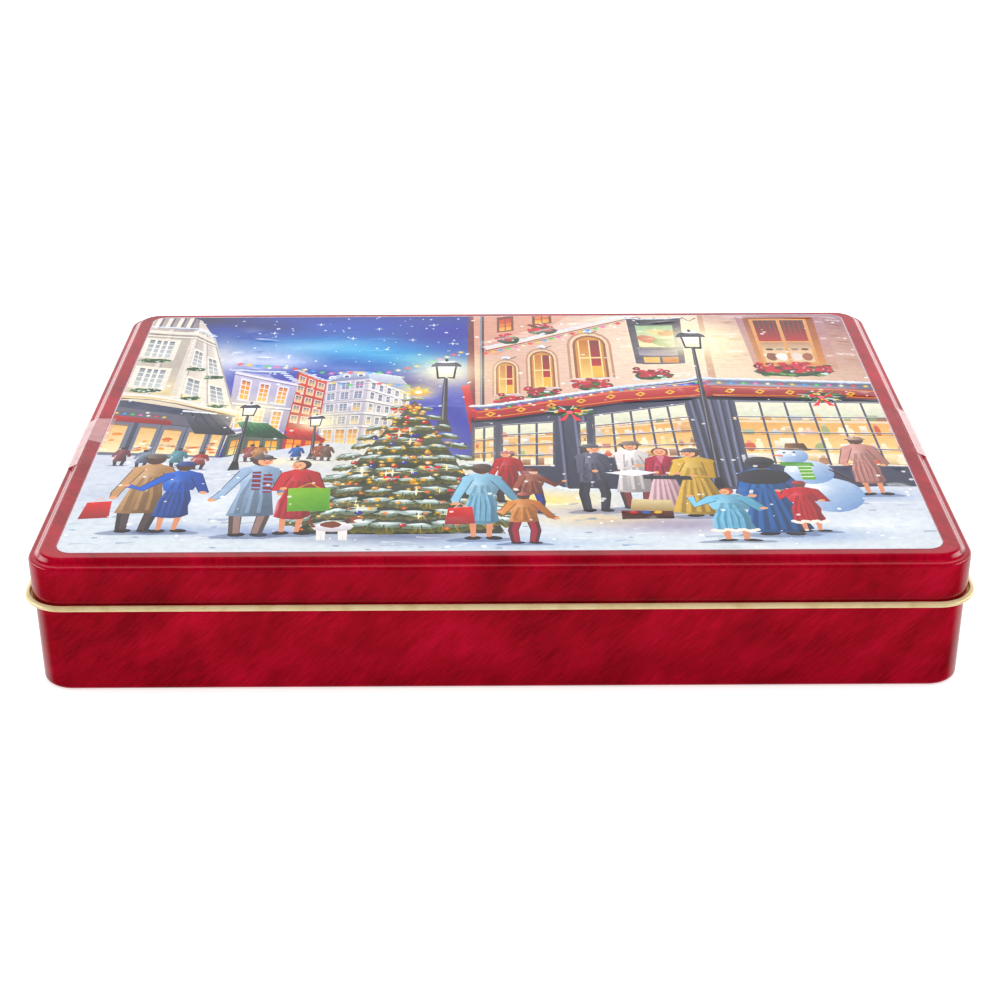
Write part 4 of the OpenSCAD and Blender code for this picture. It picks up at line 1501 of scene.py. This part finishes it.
    def snowman(self) -> None:
        """Snowman with a brown hat and a green scarf."""
        art = self.canvas
        for x, y, rx, ry in ((110, -63, 12, 13), (106, -46, 8.5, 9.5), (102, -33, 5.6, 6.4)):
            art.oval(x, y, rx, ry, Wash("#eef4fa", "#86a2c8", (x - rx, y + ry * 0.6), (x + rx, y - ry * 0.8)),
                     steps=22)
            art.glow(x - rx * 0.35, y + ry * 0.35, rx * 0.7, ry * 0.6, "#ffffff", 0.9)
        art.patch([(97, -38), (108, -38.5), (108.5, -42), (97, -41)], "#6aa04a")
        art.patch([(102.5, -40), (107, -40), (107.5, -52), (103, -52)], "#7cb256")
        for i in range(4):
            art.line([(102.8, -42 - 2.6 * i), (107.2, -42 - 2.6 * i)], 0.7, "#e8f0d8")
        art.patch([(98.5, -32.6), (98.8, -34.2), (93.5, -32.2)], "#f08a3a")
        for x, y in ((99.5, -30.8), (103, -30.6)):
            art.oval(x, y, 0.6, 0.7, "#2a2628", steps=7)
        art.oval(104, -27.6, 6.0, 1.3, "#5a4236", steps=14)
        art.patch([(100, -27.5), (108.5, -27.5), (107.6, -22.5), (101, -22.5)],
                  Wash("#a07a52", "#5a4030", (100, 0), (108, 0)))
        art.line([(113, -44), (119, -52), (123, -57)], 0.9, "#5a4236", tip=0.5)

    def falling_snow(self) -> None:
        """Flakes over everything."""
        for _ in range(300):
            x, y, size = self.at_random(-141, 141), self.at_random(-100, 101), self.at_random(0.28, 0.95)
            self.canvas.oval(x, y, size, size * 0.95, "#ffffff", 0.8, steps=6)

    def paint(self) -> Canvas:
        """Paint the picture from back to front."""
        for layer in (
            self.sky, self.grand_house, self.red_house, self.lilac_house, self.cream_house, self.tall_house,
            self.framed_windows, self.shop, self.ground,
        ):
            layer()
        self.garland([(-100, 52), (-82, 49), (-64, 43), (-42, 44), (-28, 52), (-12, 66)], 3.6, 0.95)
        self.garland([(-66, 35), (-56, 31), (-45, 33), (-34, 31), (-24, 24)], 3.6, 0.8)
        self.street_lamp(-91.5, -41, 3, 6.5)
        self.street_lamp(-65.5, -33, -6, 5.5, -0.8)
        self.street_lamp(-20, -10, 37, 10)
        self.far_people()
        self.street_lamp(75, -58, 66, 10, 2.0)
        self.fir()
        self.people()
        self.falling_snow()
        return self.canvas


# ---- tin ----


@dataclass
class TinBody:
    """Drawn body with a rounded base edge, a foot ring and a recessed base panel."""

    sheet: float = 0.3
    edge_r: float = 1.6
    foot_ring: float = 12.0
    recess: float = 0.8
    recess_r: float = 5.0
    corner_r: float = 10.9
    corner_steps: int = 18
    low: Vector = field(default_factory=lambda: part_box("body_shell")[0] / MM)
    high: Vector = field(default_factory=lambda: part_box("body_shell")[1] / MM)

    def recess_block(self) -> bpy.types.Object:
        """Block that becomes the recessed panel and its low wall."""
        ring = Vector((self.foot_ring, self.foot_ring, 0))
        top = self.high - ring
        panel = block("base_panel", tuple(self.low + ring), (top.x, top.y, self.recess))
        edit(panel)
        pick(panel, Pick.EDGE, upright)
        bevel(self.recess_r, self.corner_steps)
        pick(panel, Pick.FACE, lambda face: height(face) < 0.01)
        bpy.ops.mesh.delete(type="FACE")
        return panel

    def shell(self, outside: bpy.types.Material, inside: bpy.types.Material) -> bpy.types.Object:
        """Model the shell from a block.

        Args:
            outside: Finish of the printed outside.
            inside: Finish of the lacquered inside.

        Returns:
            The finished shell.
        """
        shell = block("tin_body_shell", tuple(self.low), tuple(self.high))
        edit(shell)
        pick(shell, Pick.EDGE, upright)
        bevel(self.corner_r, self.corner_steps)
        pick(shell, Pick.EDGE, lambda edge: height(edge) < 0.01)
        bevel(self.edge_r, 6)
        pick(shell, Pick.FACE, lambda face: abs(face.normal.z) > 0.99 and len(face.verts) > 4)
        bpy.ops.mesh.delete(type="FACE")
        panel = self.recess_block()
        choose(shell)
        panel.select_set(True)
        bpy.ops.object.join()
        edit(shell)
        pick(shell, Pick.EDGE, lambda edge: edge.is_boundary and height(edge) < 0.01)
        bpy.ops.mesh.fill(use_beauty=True)
        bpy.ops.mesh.select_all(action="SELECT")
        bpy.ops.mesh.normals_make_consistent(inside=False)
        clear_picks()
        dress(shell, outside, inside)
        thicken(shell, self.sheet)
        smooth(shell)
        return shell

    def build(self, outside: bpy.types.Material, inside: bpy.types.Material) -> None:
        """Make the body's pieces and hand them to the frame."""
        shell = self.shell(outside, inside)
        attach(shell, "tin_body")
        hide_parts("body_shell")
        dress(frame["nodes"]["body_rim"], outside)
        LOG.info("body: %d faces", len(shell.data.polygons))


@dataclass
class TinLid:
    """Lid with a skirt, a rounded shoulder, a ledge, a soft step and a raised panel."""

    sheet: float = 0.3
    corner_r: float = 11.5
    corner_steps: int = 20
    ledge_z: float = 45.0
    panel_z: float = 46.8
    curl_z: float = 31.3
    shoulder_r: float = 1.0
    ledge: float = 2.2
    step_run: float = 1.6
    step_soft: float = 0.7
    curl_r: float = 1.2
    curl_flat: float = 0.3
    curl_squash: float = 0.7  # the rolled edge is pressed flatter than round
    curl_rise: float = 0.1
    curl_sides: int = 36
    curl_mouth: Point = (96.0, 178.0)  # where the roll stays open, in degrees of its section
    panel_band: float = 0.5  # keeps the big panel's shading flat
    half: Point = (150.0, 108.5)

    def on_step(self, edge: bmesh.types.BMEdge) -> bool:
        """Whether an edge is the step's foot or its upper rim."""
        lean = min(face.normal.z for face in edge.link_faces)
        flat = max(face.normal.z for face in edge.link_faces)
        level = abs(edge.verts[0].co.z - edge.verts[1].co.z) < 0.01 * MM
        return level and flat > 0.999 and 0.2 < lean < 0.8

    def shell(self, outside: bpy.types.Material, inside: bpy.types.Material) -> bpy.types.Object:
        """Model the lid from a block; Args and Returns as for the body's shell."""
        wide, deep = self.half
        lid = block("tin_lid_shell", (-wide, -deep, self.curl_z), (wide, deep, self.ledge_z))
        edit(lid)
        pick(lid, Pick.EDGE, upright)
        bevel(self.corner_r, self.corner_steps)
        pick(lid, Pick.EDGE, lambda edge: height(edge) > self.ledge_z - 0.01)
        bevel(self.shoulder_r, 6)
        pick(lid, Pick.FACE, lambda face: face.normal.z > 0.999 and len(face.verts) > 4)
        bpy.ops.mesh.inset(thickness=(self.ledge - self.shoulder_r) * MM, depth=0)
        bpy.ops.mesh.inset(thickness=self.step_run * MM, depth=(self.panel_z - self.ledge_z) * MM)
        pick(lid, Pick.EDGE, self.on_step)
        bevel(self.step_soft, 5)
        pick(lid, Pick.FACE, lambda face: face.normal.z > 0.999 and len(face.verts) > 4)
        bpy.ops.mesh.inset(thickness=self.panel_band * MM, depth=0)
        pick(lid, Pick.FACE, lambda face: face.normal.z < -0.99)
        bpy.ops.mesh.delete(type="FACE")
        clear_picks()
        dress(lid, outside, inside)
        thicken(lid, self.sheet)
        smooth(lid, degrees=40)
        return lid

    def curl(self, lacquer: bpy.types.Material) -> bpy.types.Object:
        """Roll the lower edge: an open ring section, drawn along the sides and spun round the corners."""
        wide, deep = self.half
        middle = Vector((wide + self.curl_r - self.sheet, -deep + self.corner_r,
                         self.curl_z + self.curl_rise))
        clear_picks()
        bpy.ops.mesh.primitive_circle_add(
            vertices=self.curl_sides, radius=(self.curl_r - 0.5 * self.sheet) * MM,
            location=middle * MM, rotation=(math.pi / 2, 0, 0),
        )
        curl = named(bpy.context.object, "tin_lid_rolled_edge")
        edit(curl)
        shape = bmesh.from_edit_mesh(curl.data)
        gone = []
        for corner in shape.verts:
            out, rise = corner.co.x / MM - middle.x, corner.co.z / MM - middle.z
            corner.co.z = (middle.z + rise * self.curl_squash) * MM
            if out > 1e-4:
                corner.co.x += self.curl_flat * MM
            if self.curl_mouth[0] < math.degrees(math.atan2(rise, out)) < self.curl_mouth[1]:
                gone.append(corner)
        bmesh.ops.delete(shape, geom=gone, context="VERTS")
        bmesh.update_edit_mesh(curl.data)
        bpy.ops.mesh.select_all(action="SELECT")
        run, across = 2 * (deep - self.corner_r) * MM, 2 * (wide - self.corner_r) * MM
        for step, sx, sy in (
            ((0, run, 0), 1, 1), ((-across, 0, 0), -1, 1), ((0, -run, 0), -1, -1), ((across, 0, 0), 1, -1),
        ):
            centre = sx * (wide - self.corner_r) * MM, sy * (deep - self.corner_r) * MM, 0
            bpy.ops.mesh.extrude_edges_indiv()
            bpy.ops.transform.translate(value=step)
            bpy.ops.mesh.spin(steps=self.corner_steps, angle=math.pi / 2, axis=(0, 0, -1), center=centre)
        bpy.ops.mesh.select_all(action="SELECT")
        bpy.ops.mesh.remove_doubles(threshold=0.02 * MM)
        bpy.ops.mesh.normals_make_consistent(inside=False)
        clear_picks()
        dress(curl, lacquer)
        modify(curl, "SOLIDIFY", thickness=self.sheet * MM, offset=0.0)
        choose(curl)
        bpy.ops.object.shade_smooth_by_angle(angle=math.radians(50))
        return curl

    def build(self, outside: bpy.types.Material, lacquer: bpy.types.Material) -> None:
        """Make the lid's pieces and hand them to the frame."""
        shell = self.shell(outside, lacquer)
        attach(shell, "lid")
        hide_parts("lid_shell")
        curl = self.curl(lacquer)
        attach(curl, "lid")
        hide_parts("lid_curl")
        LOG.info("lid: %d faces, rolled edge: %d faces", len(shell.data.polygons), len(curl.data.polygons))


@dataclass(frozen=True)
class Pad:
    """A soft raised place of the embossing, along a line between two points."""

    start: Point
    end: Point
    reach: float
    rise: float

    def lift(self, spots: np.ndarray) -> np.ndarray:
        """Height the pad adds at each spot, in millimetres."""
        way = np.subtract(self.end, self.start)
        part = np.clip((spots - self.start) @ way / max(way @ way, 1e-6), 0, 1)[:, None]
        away = np.linalg.norm(spots - self.start - part * way, axis=1) / self.reach
        return self.rise * np.clip(1 - away**2, 0, 1) ** 0.7


@dataclass
class LidPicture:
    """The lid's printed and embossed picture, with a white line and a plum line round it."""

    half_wide: float = 140.7
    front: float = -100.8
    back: float = 101.5
    corner_r: float = 5.0
    white_line: float = 0.3
    plum_line: float = 0.3
    low: float = 46.79
    level: float = 46.83
    top: float = 47.28
    grid: float = 3.6
    pads: list[Pad] = field(default_factory=list)

    def frame_line(self, out: float) -> list[Point]:
        """Rounded outline, a distance outside the picture's own edge."""
        ring = []
        wide, r = self.half_wide + out, self.corner_r + out
        front, back = self.front - out, self.back + out
        for x, y, turn in (
            (wide - r, front + r, 3), (wide - r, back - r, 0), (r - wide, back - r, 1),
            (r - wide, front + r, 2),
        ):
            for angle in np.linspace(turn, turn + 1, 9) * math.pi / 2:
                ring.append((x + r * math.cos(angle), y + r * math.sin(angle)))
        return ring

    def pad(self, start: Point, end: Point, reach: float, rise: float) -> None:
        """Lay one pad of the embossing."""
        self.pads.append(Pad(start, end, reach, rise))

    def emboss(self) -> None:
        """Lay out the embossing: figures, fir, houses, lamps and snowman stand proud."""
        for x, foot, head, reach in (
            (-119, -84, -36, 9), (-106, -84, -40, 8), (-83, -86, -36, 10), (-68, -86, -40, 9),
            (-6, -90, -45, 9),
            (8, -94, -66, 8), (9, -72, -50, 6), (2, -66, -34, 6), (32, -72, -30, 8), (46, -70, -28, 9),
            (57, -74, -32, 8),
            (67, -76, -34, 9), (76, -94, -64, 9), (90, -88, -40, 10), (103, -87, -60, 9), (127, -62, -24, 8),
            (-54, -90, -82, 8),
        ):
            self.pad((x, foot), (x, head), reach, 0.42)
        for x, y, reach in ((110, -63, 13), (106, -46, 9.5), (102, -33, 7)):
            self.pad((x, y), (x, y), reach, 0.42)
        for part in range(9):
            level = -84 + 12 * part
            reach = 4 + 28 * (1 - part / 9)
            self.pad((-32 - reach * 0.6, level), (-32 + reach * 0.6, level), 8, 0.4)
        for x, foot, top, reach in ((75, -56, 66, 3), (-20, -8, 40, 3), (-91.5, -38, 6, 2.5),
                                    (-9, 0, 98, 2.5)):
            self.pad((x, foot), (x, top), reach, 0.4)
        for start, end, reach, rise in (
            ((76, 72), (77, 76), 8, 0.42), ((-20, 42), (-20, 44), 8, 0.42), ((-8, 3), (46, 19), 8, 0.4),
            ((46, 19), (78, 24), 7, 0.4), ((82, 24), (141, 19), 7, 0.4), ((-6, 68), (52, 99), 5, 0.4),
            ((-140, 19), (-97, 3), 4, 0.4), ((-57, -20), (-57, 36), 10, 0.3),
        ):
            self.pad(start, end, reach, rise)
        for x in (-139, -120, -99):
            self.pad((x, 24), (x, 84), 4, 0.3)
        for x in (53, 74, 98, 131):
            self.pad((x, 50), (x, 98), 4, 0.35)

    def build(self, ink: bpy.types.Material) -> None:
        """Paint the picture, cut it into a thin closed sheet and lay it on the lid."""
        picture = StreetPicture()
        art = picture.canvas
        art.patch(self.frame_line(self.white_line + self.plum_line), "#5e0f28")
        art.patch(self.frame_line(self.white_line), "#ecd0da")
        art.patch(self.frame_line(0), "#4a4fb0")
        picture.paint()
        points, cells, owners = art.cells(self.grid, self.half_wide, -self.front)
        colour = art.colours(points, cells, owners)
        held = np.array([0 in inks for inks in owners])
        cells, colour = cells[held], colour[held]
        used, cells = np.unique(cells, return_inverse=True)
        cells, points = cells.reshape(-1, 3), points[used]
        self.emboss()
        lift = np.max([pad.lift(points) for pad in self.pads], axis=0)
        middle = (self.front + self.back) / 2
        inset = np.minimum(self.half_wide - np.abs(points[:, 0]),
                           self.back - middle - np.abs(points[:, 1] - middle))
        lift *= np.clip(inset / 3, 0, 1)
        heights = np.minimum(self.level + lift, self.top)
        sides = {}
        for a, b, c in cells.tolist():
            for start, end in ((a, b), (b, c), (c, a)):
                sides[start] = sides.get(start, []) + [end]
        pairs = {(a, b) for a, ends in sides.items() for b in ends}
        after = {a: b for a, b in pairs if (b, a) not in pairs}
        rim = [next(iter(after))]
        while after[rim[-1]] != rim[0]:
            rim.append(after[rim[-1]])
        count = len(points)
        below = {corner: count + i for i, corner in enumerate(rim)}
        walls = [(b, a, below[a], below[b]) for a, b in zip(rim, rim[1:] + rim[:1])]
        floor = [below[corner] for corner in reversed(rim)]
        spots = np.vstack([np.column_stack([points, heights]),
                           [(*points[corner], self.low) for corner in rim]])
        mesh = bpy.data.meshes.new("tin_lid_picture")
        mesh.from_pydata((spots * MM).tolist(), [], cells.tolist() + walls + [floor])
        layer = mesh.color_attributes.new(PictureInk.layer, "BYTE_COLOR", "CORNER")
        inks = np.ones((len(mesh.loops), 4))
        inks[: cells.size, :3] = colour.reshape(-1, 3)
        layer.data.foreach_set("color_srgb", inks.ravel())
        sheet = bpy.data.objects.new("tin_lid_picture", mesh)
        bpy.context.scene.collection.objects.link(sheet)
        mesh.polygons.foreach_set("use_smooth", [True] * len(cells) + [False] * (len(walls) + 1))
        dress(sheet, ink)
        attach(sheet, "lid")
        LOG.info("picture: %d outlines, %d faces", len(art.outlines), len(mesh.polygons))


@dataclass
class TapeSeal:
    """Strip of clear tape that bridges the step, folds over the shoulder and crosses the rolled edge."""

    name: str
    side: int
    y: float
    width: float = 38.0
    thick: float = 0.1
    bridge: Point = (146.2, 149.9)  # the film hangs free between these distances, above this height
    bridge_z: float = 45.2
    loose_at: float = 142.5  # the left strip has come loose behind a slanting line through here
    loose_slant: float = 0.5
    over: tuple[Point, ...] = (
        (139.2, 46.85), (146.2, 46.85), (149.92, 45.07), (150.07, 44.0), (150.07, 36.3), (152.47, 32.1),
        (152.47, 30.9),
    )
    tail: tuple[Point, ...] = ((151.2, 29.9), (149.47, 24.3), (149.47, 14.0))

    def strip(self, name: str, way: tuple[Point, ...],
              films: tuple[bpy.types.Material, ...]) -> bpy.types.Object:
        """Draw an edge along a path into a strip of tape.

        Args:
            name: Name of the piece.
            way: Path across the tape's length: distance from the middle of the lid, and height.
            films: Finishes of the stuck film, the bridging film and the loose film.

        Returns:
            The finished strip.
        """
        (x0, z0), (x1, z1) = way[:2]
        clear_picks()
        bpy.ops.mesh.primitive_plane_add(size=1, location=(0, self.y * MM, 0))
        tape = bpy.context.object
        tape.scale = (MM, self.width * MM, 1)
        tape = named(tape, name)
        edit(tape)
        shape = bmesh.from_edit_mesh(tape.data)
        for corner in shape.verts:
            first = corner.co.x < 0
            corner.co.x, corner.co.z = self.side * (x0 if first else x1) * MM, (z0 if first else z1) * MM
        bmesh.update_edit_mesh(tape.data)
        for (x0, z0), (x1, z1) in zip(way[1:], way[2:]):
            end = self.side * x0 * MM, z0 * MM
            pick(tape, Pick.EDGE, lambda edge: edge.is_boundary and all(
                math.dist((corner.co.x, corner.co.z), end) < 1e-6 for corner in edge.verts
            ))
            bpy.ops.mesh.extrude_edges_indiv()
            bpy.ops.transform.translate(value=(self.side * (x1 - x0) * MM, 0, (z1 - z0) * MM))
        bpy.ops.mesh.select_all(action="SELECT")
        bpy.ops.mesh.normals_make_consistent(inside=False)
        clear_picks()
        dress(tape, *films)
        return tape

    def finish(self, tape: bpy.types.Object, body: str, node_name: str) -> None:
        """Thicken a strip, hand it to the frame and put it in the place of its CAD node."""
        modify(tape, "SOLIDIFY", thickness=self.thick * MM, offset=0.0)
        tape.visible_shadow = False
        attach(tape, body)
        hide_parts(node_name)

    def build(self, films: tuple[bpy.types.Material, ...]) -> None:
        """Make the strip over the lid and its tail on the body."""
        tape = self.strip(f"tape_{self.name}", self.over, films)
        if self.side < 0:
            edit(tape)
            bpy.ops.mesh.select_all(action="SELECT")
            spot = (-self.loose_at * MM, (self.y - 1.0) * MM, 0)
            bpy.ops.mesh.bisect(plane_co=spot, plane_no=(self.loose_slant, 1, 0))
            clear_picks()
        for face in tape.data.polygons:
            out, rise = abs(face.center.x) / MM, face.center.z / MM
            face.material_index = 1 if self.bridge[0] < out < self.bridge[1] and rise > self.bridge_z else 0
            if self.side < 0 and out < self.bridge[0] and face.center.y / MM > self.y:
                face.material_index = 2
        self.finish(tape, "lid", f"seal_{self.name}")
        tail = self.strip(f"tape_{self.name}_tail", self.tail, films)
        self.finish(tail, "tin_body", f"seal_{self.name}_tail")
        LOG.info("seal on the %s: %d faces", self.name, len(tape.data.polygons))


def main() -> None:
    """Build the studio and the tin, piece by piece."""
    logging.basicConfig(level=logging.INFO, format="%(name)s: %(message)s")
    Studio().build()
    red, gold = PrintedTinplate().material(), GoldLacquer().material()
    TinBody().build(red, gold)
    TinLid().build(red, gold)
    LidPicture().build(PictureInk().material())
    films = (
        ClearFilm("clear_film_stuck", cover=0.02, mirror=0.0).material(),
        # the bridging and loose films get more cover: their milky look is painted reflection
        ClearFilm("clear_film_bridge", cover=0.6, mirror=0.15).material(),
        ClearFilm("clear_film_loose", cover=0.34, mirror=0.1).material(),
    )
    TapeSeal("left", -1, -17.5).build(films)
    TapeSeal("right", 1, -11.5).build(films)


if __name__ == "__main__":
    main()
